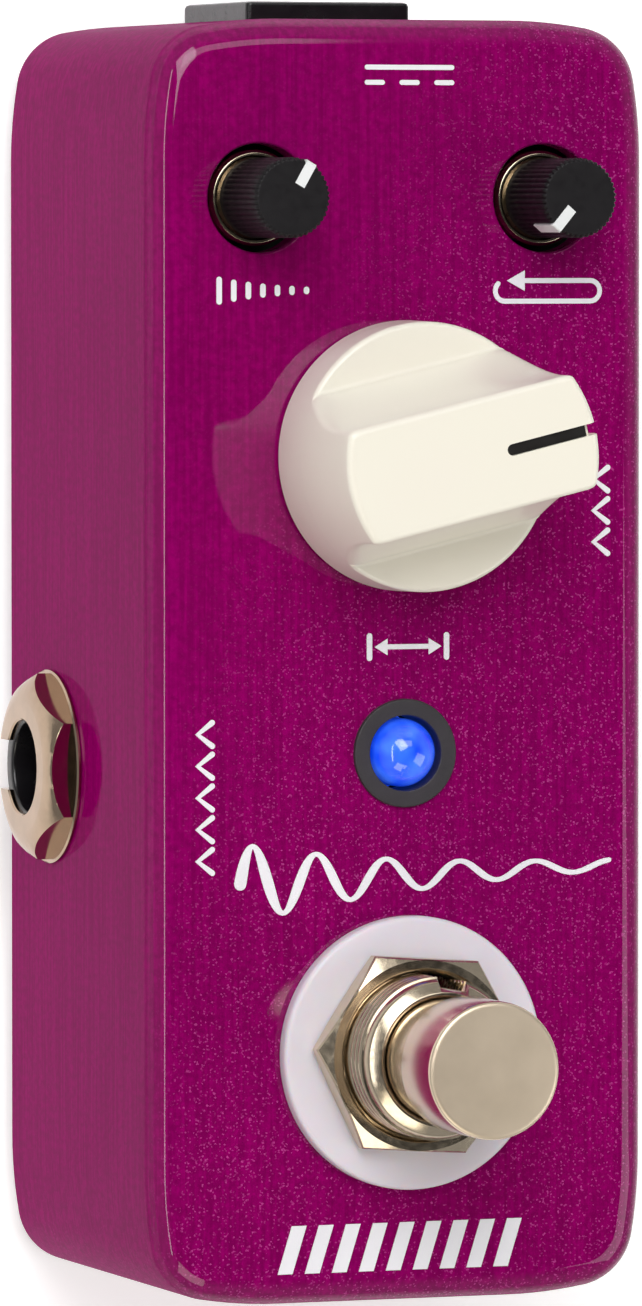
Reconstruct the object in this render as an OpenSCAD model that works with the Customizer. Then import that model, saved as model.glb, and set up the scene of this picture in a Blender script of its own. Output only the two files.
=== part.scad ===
// Compact guitar effects pedal: a die-cast case with three pots, a lamp, a footswitch and three sockets.
// Millimetres. +Z leaves the face, +Y points to the power socket, and the origin is the centre of the
// rubber pad's underside, where the pedal rests.

/* [Case] */
// Width of the casting, side to side
case_w = 38.5; // [38:0.1:40]
// Length of the casting, front to back
case_l = 93.5; // [93:0.5:97]
// Height of the casting, from its bottom rim to its face
case_h = 32.5; // [32.2:0.1:34]
// Thickness of the side walls
wall = 2; // [1.8:0.1:2.2]
// Thickness of the face
face_t = 2; // [1.8:0.1:2.2]
// Radius of the rounded edge round the face
edge_r = 2.2; // [1.4:0.1:2.6]
// Small radius in the middle of each upright corner
corner_r = 4.64; // [4.4:0.02:5.2]
// Large radius that eases into each upright corner
ease_r = 34.5; // [30:0.5:38]
// Turn of each easing arc, in degrees
ease_a = 9.9; // [8:0.1:11]
// Thickness of the bottom plate
plate_t = 1.5; // [1.3:0.1:1.6]
// Thickness of the rubber pad
pad_t = 2; // [1.5:0.1:3]

/* [Footswitch] */
// Distance of the footswitch to the right of the case's middle line
switch_x = 0.4; // [0:0.1:0.6]
// Distance of the footswitch in front of the case's middle
switch_y = 28.46; // [28:0.02:30]
// How far the cap travels down
switch_travel = 3; // [1:0.1:3.2]
// Radius of the threaded bushing
switch_r = 5.95; // [5.9:0.01:6]
// Width of the footswitch nut across its flats
switch_nut_af = 14; // [14:0.1:16]
// Radius of the footswitch cap
cap_r = 4.97; // [4.8:0.01:5.4]
// Height of the cap's top above the face, at rest
cap_top = 17.5; // [17:0.1:19]
// Radius of the white washer on the face
switch_washer_r = 10; // [9.5:0.05:10.5]

/* [Lamp] */
// Distance of the lamp to the right of the case's middle line
lamp_x = 0.1; // [0:0.1:0.5]
// Distance of the lamp in front of the case's middle
lamp_y = 6.61; // [6:0.01:7]
// Radius of the black ring round the lamp
bezel_r = 3.95; // [3.6:0.05:4.2]
// Radius of the lamp's lens
lens_r = 2.5; // [2.3:0.05:2.6]

/* [Large knob] */
// Distance of the large knob behind the case's middle
time_y = 15.05; // [14.5:0.05:15.2]
// Radius of the knob at its foot
knob_r = 9.85; // [9.7:0.05:10.2]
// Radius of the knob at its top
knob_top_r = 9.65; // [9.3:0.05:9.7]
// Height of the knob's top above the face
knob_h = 14.5; // [14:0.1:16]
// Height of the knob's two shoulders above the face
shoulder_h = 4.9; // [4.8:0.1:5.4]
// Half the width of the finger bar at its top
bar_half = 4.2; // [4:0.1:4.8]
// Direction of the pointer at rest, in degrees from +X
time_angle = 13.4; // [-50:0.2:230]

/* [Small knobs] */
// Distance of each small knob from the middle line
small_x = 11.07; // [10.8:0.01:11.2]
// Distance of the small knobs behind the case's middle
small_y = 33.77; // [33:0.01:33.8]
// Radius of a small knob
small_r = 2.9; // [2.8:0.05:3.1]
// Height of a small knob's top above the face
small_h = 7; // [6.8:0.1:8.5]
// Radius of each small knob's hole in the face
small_hole_r = 3.95; // [3.8:0.05:4.2]
// Direction of the left knob's mark at rest, in degrees from +X
echo_angle = 60; // [-50:0.2:230]
// Direction of the right knob's mark at rest, in degrees from +X
feedback_angle = 230; // [-50:0.2:230]

/* [Sockets] */
// Distance of the output socket in front of the case's middle
output_y = 8.4; // [8.2:0.1:8.8]
// Distance of the input socket behind the case's middle
input_y = 11.5; // [11:0.1:12]
// Height of both plug sockets above the casting's bottom rim
jack_h = 9.4; // [9:0.1:9.8]
// Radius of the bore for a 6.35 mm plug
plug_r = 3.25; // [3.2:0.01:3.3]
// Width of each socket nut across its flats
jack_nut_af = 12; // [11.8:0.1:12.4]
// Distance of the power socket to the right of the case's middle line
power_x = 0.5; // [0:0.1:0.8]
// Width of the power socket's block
power_w = 12.9; // [12.6:0.1:13.4]
// Height of the power socket's block
power_h = 14.05; // [13.8:0.05:14.4]
// How far the power socket stands out of the back
power_out = 1.6; // [1:0.1:2]
// Radius of the power socket's hole, for a 5.5 mm barrel
power_hole_r = 2.9; // [2.8:0.05:3]
// Radius of the power socket's centre pin
power_pin_r = 1.05; // [1:0.05:1.2]

/* [Hidden] */

// Smoothness of round things
$fn = 64;
// Overlap that carries a cut through a surface
cut = 0.5;
// Gap between a turning or sliding shaft and its bore
running = 0.05;
// Gap between parts that only sit together
seat = 0.02;

// Levels, upwards from the surface that the pedal rests on
rim_z = pad_t;
plate_top = rim_z + plate_t;
face_z = rim_z + case_h;
ceiling_z = face_z - face_t;
pot_h = 6.6;
pot_w = 9.4;
pot_bushing_h = 5;
small_bushing_top = face_z - 0.8;
pot_top = small_bushing_top - pot_bushing_h;
board_t = 1.6;
board_top = pot_top - pot_h;
board_bottom = board_top - board_t;

// Plan outline: how far along each side a corner reaches, and where its small arc is centred
corner_reach = ease_r - (ease_r - corner_r) * (cos(ease_a) - sin(ease_a));
corner_x = case_w / 2 - ease_r + (ease_r - corner_r) * cos(ease_a);
corner_y = case_l / 2 - corner_reach + (ease_r - corner_r) * sin(ease_a);

// Points on an arc, both ends included
function arc(centre, r, from, to, steps) =
    [for (i = [0:steps]) let (a = from + (to - from) * i / steps) centre + r * [cos(a), sin(a)]];

// One corner of the outline, set in from the casting's outside by inset
function corner(inset) = concat(
    arc([case_w / 2 - ease_r, case_l / 2 - corner_reach], ease_r - inset, 0, ease_a * 0.75, 3),
    arc([corner_x, corner_y], corner_r - inset, ease_a, 90 - ease_a, 9),
    arc([case_w / 2 - corner_reach, case_l / 2 - ease_r], ease_r - inset, 90 - ease_a * 0.75, 90, 3));

function backwards(list) = [for (i = [len(list) - 1:-1:0]) list[i]];

function outline(inset) = let (c = corner(inset)) concat(
    c,
    backwards([for (p = c) [-p.x, p.y]]),
    [for (p = c) -p],
    backwards([for (p = c) [p.x, -p.y]]));

// Faces of a closed skin over rings of points: count rings of sides points each, with flat ends
function skin_faces(count, sides) = concat(
    [for (i = [0:count - 2], k = [0:sides - 1])
        let (a = i * sides, b = a + sides, next = (k + 1) % sides) [a + k, b + k, b + next, a + next]],
    [[for (k = [0:sides - 1]) k], [for (k = [sides - 1:-1:0]) (count - 1) * sides + k]]);

// A block on the plan outline with a rounded upper edge
module eased_block(inset, low, high, edge, steps) {
    levels = concat(
        [[inset, low]],
        [for (i = [0:steps]) let (turn = 90 * i / steps)
            [inset + edge * (1 - cos(turn)), high - edge * (1 - sin(turn))]]);
    points = [for (level = levels, p = outline(level[0])) [p.x, p.y, level[1]]];
    polyhedron(points = points, faces = skin_faces(len(levels), len(outline(inset))), convexity = 4);
}

module eased_plate(inset, low, high) {
    translate([0, 0, low]) linear_extrude(high - low) polygon(outline(inset));
}

module at_corners() {
    for (x = [-1, 1], y = [-1, 1]) translate([x * corner_x, y * corner_y, 0]) children();
}

// A cylinder, or a cone, between two levels
module drum(low, high, r, top_r = undef) {
    translate([0, 0, low]) cylinder(h = high - low, r1 = r, r2 = is_undef(top_r) ? r : top_r);
}

// A block centred on the Z axis between two levels
module block(w, l, low, high) {
    translate([-w / 2, -l / 2, low]) cube([w, l, high - low]);
}

module ring(low, high, r, hole_r) {
    difference() {
        drum(low, high, r);
        drum(low - cut, high + cut, hole_r);
    }
}

// Hexagonal nut with a chamfer on its upper corners
module hex_nut(low, high, af, hole_r, chamfer) {
    tip_r = af / sqrt(3);
    difference() {
        intersection() {
            translate([0, 0, low]) cylinder(h = high - low, r = tip_r, $fn = 6);
            union() {
                drum(low - cut, high - chamfer * 0.6, tip_r + cut);
                drum(high - chamfer * 0.6, high, tip_r + seat, tip_r - chamfer);
            }
        }
        drum(low - cut, high + cut, hole_r);
    }
}

/* ---- Casing ---- */
boss_r = 3.1;
rim_t = 1;
screw_r = 1.25;
screw_head_r = 2.35;
screw_head_h = 1.1;
screw_end = plate_top + 6.5;
screw_hole_end = screw_end + 1;
jack_z = rim_z + jack_h;
jack_bushing_r = 4.45;
power_low = plate_top + running;
power_mid = power_low + power_h / 2;
power_gap = 0.1;
inner_edge = 1.2;
bezel_stem_r = 3.25;
time_bushing_r = 3.5;

module face_holes() {
    at_switch() drum(ceiling_z - cut, face_z + cut, switch_r + running);
    at_lamp() drum(ceiling_z - cut, face_z + cut, bezel_stem_r + seat);
    at_time() drum(ceiling_z - cut, face_z + cut, time_bushing_r + running);
    at_echo() drum(ceiling_z - cut, face_z + cut, small_hole_r);
    at_feedback() drum(ceiling_z - cut, face_z + cut, small_hole_r);
}

module enclosure() {
    color([0.49, 0.0, 0.33])
    difference() {
        eased_block(0, rim_z, face_z, edge_r, 6);
        difference() {
            eased_block(wall, plate_top - cut, ceiling_z, inner_edge, 3);
            at_corners() drum(plate_top - 2 * cut, face_z, boss_r);
        }
        eased_plate(rim_t, rim_z - cut, plate_top);
        at_corners() drum(rim_z - cut, screw_hole_end, screw_r + seat);
        face_holes();
        at_output() along_x(-wall - cut, cut, jack_bushing_r + running);
        at_input() along_x(-wall - cut, cut, jack_bushing_r + running);
        translate([power_x, case_l / 2, 0])
            block(power_w + 2 * power_gap, 3 * wall, plate_top, power_low + power_h + power_gap);
    }
}

module bottom_plate() {
    color([0.16, 0.16, 0.17])
    difference() {
        eased_plate(rim_t + running, rim_z, plate_top);
        at_corners() {
            drum(rim_z - cut, plate_top + cut, screw_r + 2 * running);
            drum(rim_z, rim_z + screw_head_h, screw_head_r + running, screw_r + running);
        }
    }
}

module bottom_screws() {
    cross_w = 0.6;
    cross_l = 2.6;
    cross_h = 0.9;
    color([0.75, 0.74, 0.72])
    at_corners() difference() {
        union() {
            drum(rim_z, rim_z + screw_head_h, screw_head_r, screw_r);
            drum(rim_z + screw_head_h, screw_end, screw_r);
        }
        block(cross_w, cross_l, rim_z - cut, rim_z + cross_h);
        block(cross_l, cross_w, rim_z - cut, rim_z + cross_h);
    }
}

pad_w = 33;
pad_l = 73;
pad_corner_r = 4;

module rubber_pad() {
    color([0.09, 0.09, 0.09])
    union() {
        block(pad_w, pad_l - 2 * pad_corner_r, 0, pad_t);
        block(pad_w - 2 * pad_corner_r, pad_l, 0, pad_t);
        for (x = [-1, 1], y = [-1, 1])
            translate([x * (pad_w / 2 - pad_corner_r), y * (pad_l / 2 - pad_corner_r), 0])
                drum(0, pad_t, pad_corner_r);
    }
}

/* ---- Circuit board ---- */
board_w = 33;
board_front = -17;
board_back = 43;
chip_h = 1.5;

// Chips: place, width and length
chips = [[-10.5, 0, 9, 9], [10.5, -4, 4, 5], [10.5, 4.5, 4, 5], [-10.5, 11.5, 4, 5], [0, 34, 6.2, 6.2]];
// Electrolytic capacitors: place, radius and height
cans = [[10.6, 12.5, 2.5, 7], [10.6, 20, 2.5, 7], [-10.6, 20.5, 3.15, 7.5], [0, 25.2, 2.5, 7]];
// Rows of small resistors: first place, step and how many
resistor_rows = [[5.5, -9.5, 2.2, 5], [-7.5, -9.8, 2.2, 3], [-7, 26.6, 2.2, 2], [5, 26.6, 2.2, 2],
    [-15, 6.2, 2.2, 4]];

module main_board() {
    color([0.05, 0.25, 0.12])
    difference() {
        translate([-board_w / 2, board_front, board_bottom])
            cube([board_w, board_back - board_front, board_t]);
        at_corners() drum(board_bottom - cut, board_top + cut, boss_r + 0.6);
    }
}

module board_chips() {
    leg_w = 0.4;
    leg_h = 0.5;
    color([0.07, 0.07, 0.08])
    for (c = chips) translate([c[0], c[1], 0]) {
        block(c[2], c[3], board_top + leg_h / 2, board_top + leg_h / 2 + chip_h);
        for (i = [-1.5:1:1.5]) translate([0, i * c[3] / 4, 0])
            block(c[2] + 2, leg_w, board_top, board_top + leg_h);
    }
}

module board_capacitors() {
    color([0.15, 0.16, 0.25])
    for (c = cans) translate([c[0], c[1], 0]) {
        drum(board_top, board_top + c[3], c[2]);
        block(2 * c[2] + 0.4, 2 * c[2] + 0.4, board_top, board_top + 0.4);
    }
}

module board_resistors() {
    color([0.1, 0.1, 0.11])
    for (row = resistor_rows, i = [0:row[3] - 1])
        translate([row[0] + i * row[2], row[1], 0]) block(1.2, 2, board_top, board_top + 0.6);
}

module clock_crystal() {
    crystal_h = 3.4;
    color([0.78, 0.78, 0.76])
    translate([-10.8, -6.9, 0]) union() {
        block(6.4, 3.8, board_top, board_top + crystal_h);
        for (x = [-3.2, 3.2]) translate([x, 0, 0]) drum(board_top, board_top + crystal_h, 1.9);
    }
}

/* ---- Lamp ---- */
bezel_h = 0.35;
bezel_chamfer = 0.1;
bezel_hole_r = 2.75;
lens_shoulder = face_z - 0.7;
lens_flange_z = lens_shoulder - 6;

module at_lamp() {
    translate([lamp_x, -lamp_y, 0]) children();
}

module led_bezel() {
    color([0.05, 0.05, 0.055])
    at_lamp() difference() {
        union() {
            drum(face_z, face_z + bezel_h - bezel_chamfer, bezel_r);
            drum(face_z + bezel_h - bezel_chamfer, face_z + bezel_h, bezel_r, bezel_r - bezel_chamfer);
            drum(ceiling_z - 1.5, face_z, bezel_stem_r);
        }
        drum(ceiling_z - 2, face_z + 2, bezel_hole_r);
    }
}

module led_lens() {
    color([0.15, 0.4, 1, 0.8])
    at_lamp() union() {
        drum(lens_flange_z, lens_flange_z + 1, lens_r + 0.4);
        drum(lens_flange_z + 1, lens_shoulder, lens_r);
        intersection() {
            translate([0, 0, lens_shoulder]) sphere(r = lens_r);
            drum(lens_shoulder, lens_shoulder + 2 * lens_r, lens_r + 1);
        }
    }
}

module led_leads() {
    color([0.8, 0.8, 0.8])
    at_lamp() for (x = [-1.27, 1.27]) translate([x, 0, 0])
        block(0.5, 0.5, board_top, lens_flange_z);
}

/* ---- Plug sockets, drawn with their axis along +X and the case's side at x = 0 ---- */
jack_w = 14;
jack_t = 13.5;
jack_wall = 1.5;
jack_flange_t = 2;
jack_depth = 30;
jack_front = -wall - jack_flange_t;
jack_sleeve_end = -6.6;
nut_flange_r = 7.2;
nut_flange_t = 0.35;
nut_out = 2.3;
nut_lip_r = 3.5;
nut_lip_t = 0.37;
notch_w = 3.7;
notch_deep = 1.35;
tail_w = 1.2;
tail_t = 0.5;
tip_tail_x = -22;
sleeve_tail_x = -8.5;

module at_output() {
    translate([-case_w / 2, -output_y, jack_z]) rotate([0, 0, 180]) children();
}

module at_input() {
    translate([case_w / 2, input_y, jack_z]) children();
}

// Cylinder or cone along X
module along_x(from, to, r, end_r = undef) {
    rotate([0, 90, 0]) drum(from, to, r, end_r);
}

// Block along X, centred on the axis
module bar_x(from, to, w, t) {
    translate([from, -w / 2, -t / 2]) cube([to - from, w, t]);
}

module jack_body() {
    difference() {
        bar_x(-jack_depth, jack_front, jack_w, jack_t);
        bar_x(-jack_depth + jack_wall, jack_front + cut, jack_w - 2 * jack_wall, jack_t - 2 * jack_wall);
        for (x = [tip_tail_x, sleeve_tail_x]) translate([x, 0, jack_t / 2])
            block(tail_w + 2 * running, tail_t + 2 * running, -2 * jack_wall, cut);
    }
}

module jack_bushing() {
    mouth = nut_out - nut_lip_t;
    difference() {
        union() {
            bar_x(jack_front, -wall, jack_w, jack_t);
            along_x(jack_sleeve_end, mouth, jack_bushing_r);
        }
        along_x(jack_sleeve_end - cut, mouth + cut, plug_r);
        along_x(mouth - 0.3, mouth + seat, plug_r, nut_lip_r);
    }
}

// Outline of the nut's round crown: radius against height out of the case's side
crown = [[0, nut_flange_t], [7.2, nut_flange_t], [7.2, 0.8], [6.93, 1.05], [6.45, 1.6], [6, 1.98],
    [5.5, 2.2], [5, nut_out], [0, nut_out]];

module jack_nut() {
    difference() {
        union() {
            along_x(0, nut_flange_t, nut_flange_r);
            rotate([0, 90, 0]) intersection() {
                rotate([0, 0, 30]) cylinder(h = nut_out, r = jack_nut_af / sqrt(3), $fn = 6);
                rotate_extrude() polygon(crown);
            }
        }
        along_x(-cut, nut_out - nut_lip_t, jack_bushing_r + running);
        along_x(-cut, nut_out + cut, nut_lip_r);
        translate([nut_out - notch_deep, -notch_w / 2, -nut_flange_r - cut])
            cube([notch_deep + cut, notch_w, nut_flange_r + cut]);
    }
}

// Leaf contact above the plug: a strip with a bent nose, and a tail up to the board
module leaf_contact(back, front, nose_x, tail_x, w) {
    strip = jack_t / 2 - jack_wall - 0.05;
    t = 0.4;
    nose = plug_r + running;
    rotate([90, 0, 0]) translate([0, 0, -w / 2]) linear_extrude(w)
        polygon([[back, strip], [back, strip - t],
            [nose_x - 1.5, strip - t], [nose_x, nose], [nose_x + 1.5, strip - t],
            [front, strip - t], [front, strip],
            [nose_x + 1.3, strip], [nose_x, nose + t + 0.1], [nose_x - 1.3, strip]]);
    translate([tail_x, 0, 0]) block(tail_w, tail_t, strip - t / 2, board_bottom - jack_z);
}

module tip_contact() {
    leaf_contact(-jack_depth + jack_wall + 0.1, -18.5, -26.2, tip_tail_x, 3);
}

module sleeve_contact() {
    leaf_contact(-16.5, jack_sleeve_end - 0.1, -12, sleeve_tail_x, 4);
}

module output_jack_body() {
    color([0.08, 0.08, 0.085]) at_output() jack_body();
}

module output_jack_bushing() {
    color([0.03, 0.03, 0.035]) at_output() jack_bushing();
}

module output_jack_nut() {
    color([0.75, 0.68, 0.58]) at_output() jack_nut();
}

module output_tip_contact() {
    color([0.8, 0.76, 0.6]) at_output() tip_contact();
}

module output_sleeve_contact() {
    color([0.8, 0.76, 0.6]) at_output() sleeve_contact();
}

module input_jack_body() {
    color([0.08, 0.08, 0.085]) at_input() jack_body();
}

module input_jack_bushing() {
    color([0.03, 0.03, 0.035]) at_input() jack_bushing();
}

module input_jack_nut() {
    color([0.75, 0.68, 0.58]) at_input() jack_nut();
}

module input_tip_contact() {
    color([0.8, 0.76, 0.6]) at_input() tip_contact();
}

module input_sleeve_contact() {
    color([0.8, 0.76, 0.6]) at_input() sleeve_contact();
}

/* ---- Power socket, drawn with its mouth towards +Y and the case's back at y = 0 ---- */
power_l = 13.5;
power_deep = 9.5;
pin_short = 0.8;

module at_power() {
    translate([power_x, case_l / 2 + power_out, power_mid]) children();
}

// Cylinder or cone along Y
module along_y(from, to, r, end_r = undef) {
    rotate([-90, 0, 0]) drum(from, to, r, end_r);
}

module power_socket_housing() {
    color([0.06, 0.055, 0.06])
    at_power() difference() {
        translate([-power_w / 2, -power_l, -power_h / 2]) cube([power_w, power_l, power_h]);
        along_y(-power_deep, cut, power_hole_r);
        along_y(-0.4, seat, power_hole_r, power_hole_r + 0.4);
        translate([-1.1, -power_deep, -power_hole_r - 1]) cube([2.2, power_deep - 2, power_hole_r]);
    }
}

module power_socket_pin() {
    color([0.85, 0.82, 0.72])
    at_power() union() {
        along_y(-power_deep, -pin_short - 0.5, power_pin_r);
        along_y(-pin_short - 0.5, -pin_short, power_pin_r, power_pin_r - 0.4);
    }
}

module power_socket_contact() {
    color([0.8, 0.76, 0.6])
    at_power() translate([-0.9, -power_deep, -power_hole_r - 0.9])
        cube([1.8, power_deep - 2.3, 0.4]);
}

module power_socket_terminals() {
    color([0.8, 0.76, 0.6])
    for (place = [[0, -12], [0, -7.5], [4.6, -9.5]])
        translate([power_x + place.x, case_l / 2 + power_out + place.y, 0])
            block(2.2, 0.6, power_low + power_h, board_bottom);
}

/* ---- Footswitch ---- */
switch_hole_r = 4.52;
neck_r = switch_hole_r - 0.07;
bushing_top = face_z + 7.4;
thread_top = bushing_top - 1.15;
band_top = bushing_top - 0.5;
lock_nut_t = 2.3;
switch_frame_top = ceiling_z - 3.4;
switch_frame_t = 1.2;
switch_frame_low = switch_frame_top - switch_frame_t;
housing_w = 16.8;
housing_h = 14;
housing_low = switch_frame_low - housing_h;
lug_h = 4;
lug_hole_z = housing_low - lug_h + 1.6;
terminal_step = 4.8;
well_r = 6.4;
well_low = housing_low + 3.1;
collar_r = 5.9;
collar_t = 1.4;
collar_top = switch_frame_low - running;
spring_r = 3.3;
spring_wire_r = 0.4;
spring_turns = 5;
spring_steps = 12 * spring_turns;
cap_low = face_z + 11.5;
washer_t = 1.3;
nut_t = 2;
nut_turn = -4;
keyway_w = 2.2;
keyway_turn = 80;

module at_switch() {
    translate([switch_x, -switch_y, 0]) children();
}

module footswitch_washer() {
    color([0.86, 0.83, 0.86])
    at_switch() ring(face_z, face_z + washer_t, switch_washer_r, switch_r + 0.15);
}

module footswitch_nut() {
    color([0.75, 0.68, 0.58])
    at_switch() rotate([0, 0, nut_turn])
        hex_nut(face_z + washer_t, face_z + washer_t + nut_t, switch_nut_af, switch_r + seat, 1);
}

module footswitch_lock_nut() {
    color([0.75, 0.72, 0.68])
    at_switch() hex_nut(ceiling_z - lock_nut_t, ceiling_z, switch_nut_af, switch_r + seat, 0.8);
}

module footswitch_bushing() {
    band_r = switch_r - 0.35;
    color([0.75, 0.68, 0.58])
    at_switch() difference() {
        union() {
            drum(switch_frame_top, thread_top, switch_r);
            drum(thread_top, band_top, switch_r - 0.15, band_r);
            drum(band_top, bushing_top, band_r, switch_hole_r + 0.35);
        }
        drum(switch_frame_top - cut, bushing_top + cut, switch_hole_r);
        rotate([0, 0, keyway_turn]) translate([switch_r - 0.8, -keyway_w / 2, face_z - 2])
            cube([2, keyway_w, bushing_top - face_z + 3]);
    }
}

module footswitch_frame() {
    leg_t = 0.8;
    leg_w = 9;
    leg_h = 7;
    frame_w = housing_w + 2 * leg_t;
    color([0.75, 0.74, 0.72])
    at_switch() difference() {
        union() {
            block(frame_w, housing_w, switch_frame_low, switch_frame_top);
            for (x = [-1, 1]) translate([x * (frame_w - leg_t) / 2, 0, 0])
                block(leg_t, leg_w, switch_frame_low - leg_h, switch_frame_low + cut);
        }
        drum(switch_frame_low - cut, switch_frame_top + cut, switch_hole_r);
    }
}

module footswitch_housing() {
    color([0.1, 0.25, 0.6])
    at_switch() difference() {
        block(housing_w, housing_w, housing_low, switch_frame_low);
        drum(well_low, switch_frame_low + cut, well_r);
    }
}

module footswitch_terminals() {
    lug_w = 2.2;
    lug_t = 0.8;
    color([0.82, 0.78, 0.6])
    at_switch() for (x = [-1:1], y = [-1:1]) translate([x * terminal_step, y * terminal_step, 0])
        difference() {
            block(lug_w, lug_t, housing_low - lug_h, housing_low);
            translate([0, 0, lug_hole_z]) along_y(-lug_t, lug_t, wire_r + running);
        }
}

spring_low = well_low + spring_wire_r + seat;
spring_high = collar_top - collar_t - spring_wire_r - seat;

// Point on the spring's helix, from 0 at its lower end to 1 at its upper end
function spring_point(t) = let (a = 360 * spring_turns * t)
    [spring_r * cos(a), spring_r * sin(a), spring_low + t * (spring_high - spring_low)];

module footswitch_spring() {
    color([0.7, 0.7, 0.72])
    at_switch() tube(
        [for (i = [0:spring_steps]) spring_point(i / spring_steps)],
        [for (i = [0:spring_steps]) let (a = 30 * i) [cos(a), sin(a), 0]],
        spring_wire_r, 8);
}

// Plunger: radius against height, from the stem in the switch up to the cap
stem_r = 2;
stem_low = well_low + switch_travel + 0.8;
cap_edge = 0.5;
plunger_outline = concat(
    [[0, stem_low], [stem_r, stem_low], [stem_r, collar_top - collar_t], [collar_r, collar_top - collar_t],
        [collar_r, collar_top], [neck_r, collar_top], [neck_r, cap_low], [cap_r - 0.25, cap_low],
        [cap_r, cap_low + 0.25]],
    arc([cap_r - cap_edge, face_z + cap_top - cap_edge], cap_edge, 0, 90, 6),
    [[0, face_z + cap_top]]);

module footswitch_plunger() {
    color([0.78, 0.71, 0.6])
    at_switch() rotate_extrude() polygon(plunger_outline);
}

/* ---- Wires from the footswitch to the board ---- */
header_w = 13;
header_l = 4;
header_h = 4.6;
header_y = board_front + 0.6;
wire_r = 0.55;
wire_bend = 1.6;
wire_up_y = board_front - 1.4;
wire_tail = 1.2;

// A wire's path in the YZ plane: back through its lug, up in front of the board and into the header
wire_end = [header_y, board_top + 2.4];
wire_path = concat(
    [[-switch_y + terminal_step - wire_tail, lug_hole_z]],
    arc([wire_up_y - wire_bend, lug_hole_z + wire_bend], wire_bend, 270, 360, 5),
    arc([wire_up_y + wire_bend, wire_end.y - wire_bend], wire_bend, 180, 90, 5),
    [wire_end]);

function heading(path, i) = let (
    a = path[max(i - 1, 0)],
    b = path[min(i + 1, len(path) - 1)]) (b - a) / norm(b - a);

// Round wire along a path, where normals holds one sideways direction for each point
module tube(path, normals, r, sides) {
    points = [for (i = [0:len(path) - 1], k = [0:sides - 1])
        let (a = 360 * k / sides)
        path[i] + r * (cos(a) * normals[i] + sin(a) * cross(heading(path, i), normals[i]))];
    polyhedron(points = points, faces = skin_faces(len(path), sides), convexity = 4);
}

module switch_wires() {
    color([0.75, 0.12, 0.1])
    for (i = [-1:1]) tube(
        [for (p = wire_path) [switch_x + i * terminal_step, p.x, p.y]],
        [for (p = wire_path) [1, 0, 0]],
        wire_r, 8);
}

module wire_header() {
    color([0.9, 0.89, 0.84])
    translate([switch_x, header_y + header_l / 2, 0])
        block(header_w, header_l, board_top, board_top + header_h);
}

/* ---- Pots and knobs ---- */
time_shaft_r = 3;
small_shaft_r = 2;
pot_floor = board_top + 2;
knob_low = face_z + 0.3;
knob_recess_r = 6.4;
knob_recess_top = face_z + 4.4;
knob_bore_top = face_z + 12.3;
time_bushing_top = face_z + 4;
pot_washer_t = 0.5;
pot_nut_t = 2;
pot_nut_af = 10;
shaft_flat = 2.2;
shoulder_z = face_z + shoulder_h;
knob_top = face_z + knob_h;
index_w = 0.84;
index_start = 3;
index_deep = 0.6;
index_drop = 2.2;
mark_w = 0.8;
mark_start = 1;
mark_deep = 0.35;
mark_drop = 3.7;
small_low = small_bushing_top + 0.2;
small_top = face_z + small_h;
flutes = 24;
flute_r = 0.22;

module at_time() {
    translate([0, time_y, 0]) children();
}

module at_echo() {
    translate([-small_x, small_y, 0]) children();
}

module at_feedback() {
    translate([small_x, small_y, 0]) children();
}

// Pot in its square can, with three pins down to the board
module pot_body(shaft_r) {
    difference() {
        block(pot_w, pot_w, board_top, pot_top);
        drum(pot_floor, pot_top + cut, shaft_r + running);
    }
    for (x = [-2.5:2.5:2.5]) translate([x, -pot_w / 2 - 0.6, 0])
        block(1, 1.2, board_top, board_top + 1);
}

module pot_shaft(shaft_r, top) {
    drum(pot_floor + running, top, shaft_r);
}

// Shaft or bore with a flat on its upper part
module flatted(low, high, r, flat) {
    intersection() {
        drum(low, high, r);
        translate([-2 * r, -2 * r, low - cut]) cube([2 * r + flat, 4 * r, high - low + 2 * cut]);
    }
}

// One side's scoop beside the finger bar, as a section across the bar
module scoop_section() {
    outside = knob_r + 2;
    flank_r = 15;
    flank_top = knob_top - 1.6;
    flank_turn = asin((flank_top - shoulder_z) / flank_r);
    polygon(concat(
        [[bar_half, knob_top + cut]],
        arc([bar_half + flank_r, flank_top], flank_r, 180, 180 + flank_turn, 8),
        [[outside, shoulder_z], [outside, knob_top + cut]]));
}

module time_knob() {
    color([0.96, 0.94, 0.88])
    at_time() rotate([0, 0, time_angle]) difference() {
        drum(knob_low, knob_top, knob_r, knob_top_r);
        for (side = [0, 180]) rotate([0, 0, side]) rotate([90, 0, 90]) translate([0, 0, -2 * knob_r])
            linear_extrude(4 * knob_r) scoop_section();
        drum(knob_low - cut, knob_recess_top, knob_recess_r);
        flatted(knob_recess_top - cut, knob_bore_top, time_shaft_r + seat, shaft_flat + seat);
        index_block(knob_top + cut, knob_r + cut);
    }
}

// Groove for the black index: along the top and a little way down the pointer's end
module index_block(top, reach) {
    translate([index_start, -index_w / 2, knob_top - index_deep])
        cube([reach - index_start, index_w, top - knob_top + index_deep]);
    translate([index_start, 0, 0]) drum(knob_top - index_deep, top, index_w / 2);
    translate([knob_top_r - index_deep, -index_w / 2, knob_top - index_drop])
        cube([reach - knob_top_r + index_deep, index_w, index_drop]);
}

module time_knob_index() {
    color([0.04, 0.04, 0.04])
    at_time() rotate([0, 0, time_angle]) intersection() {
        index_block(knob_top, knob_r + cut);
        drum(knob_low, knob_top - 0.15, knob_r - 0.15, knob_top_r - 0.15);
    }
}

module time_pot_shaft() {
    color([0.75, 0.75, 0.74])
    at_time() rotate([0, 0, time_angle]) {
        pot_shaft(time_shaft_r, knob_recess_top);
        flatted(knob_recess_top - seat, knob_bore_top - 0.2, time_shaft_r, shaft_flat);
    }
}

module time_pot_body() {
    color([0.2, 0.3, 0.22]) at_time() pot_body(time_shaft_r);
}

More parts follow.
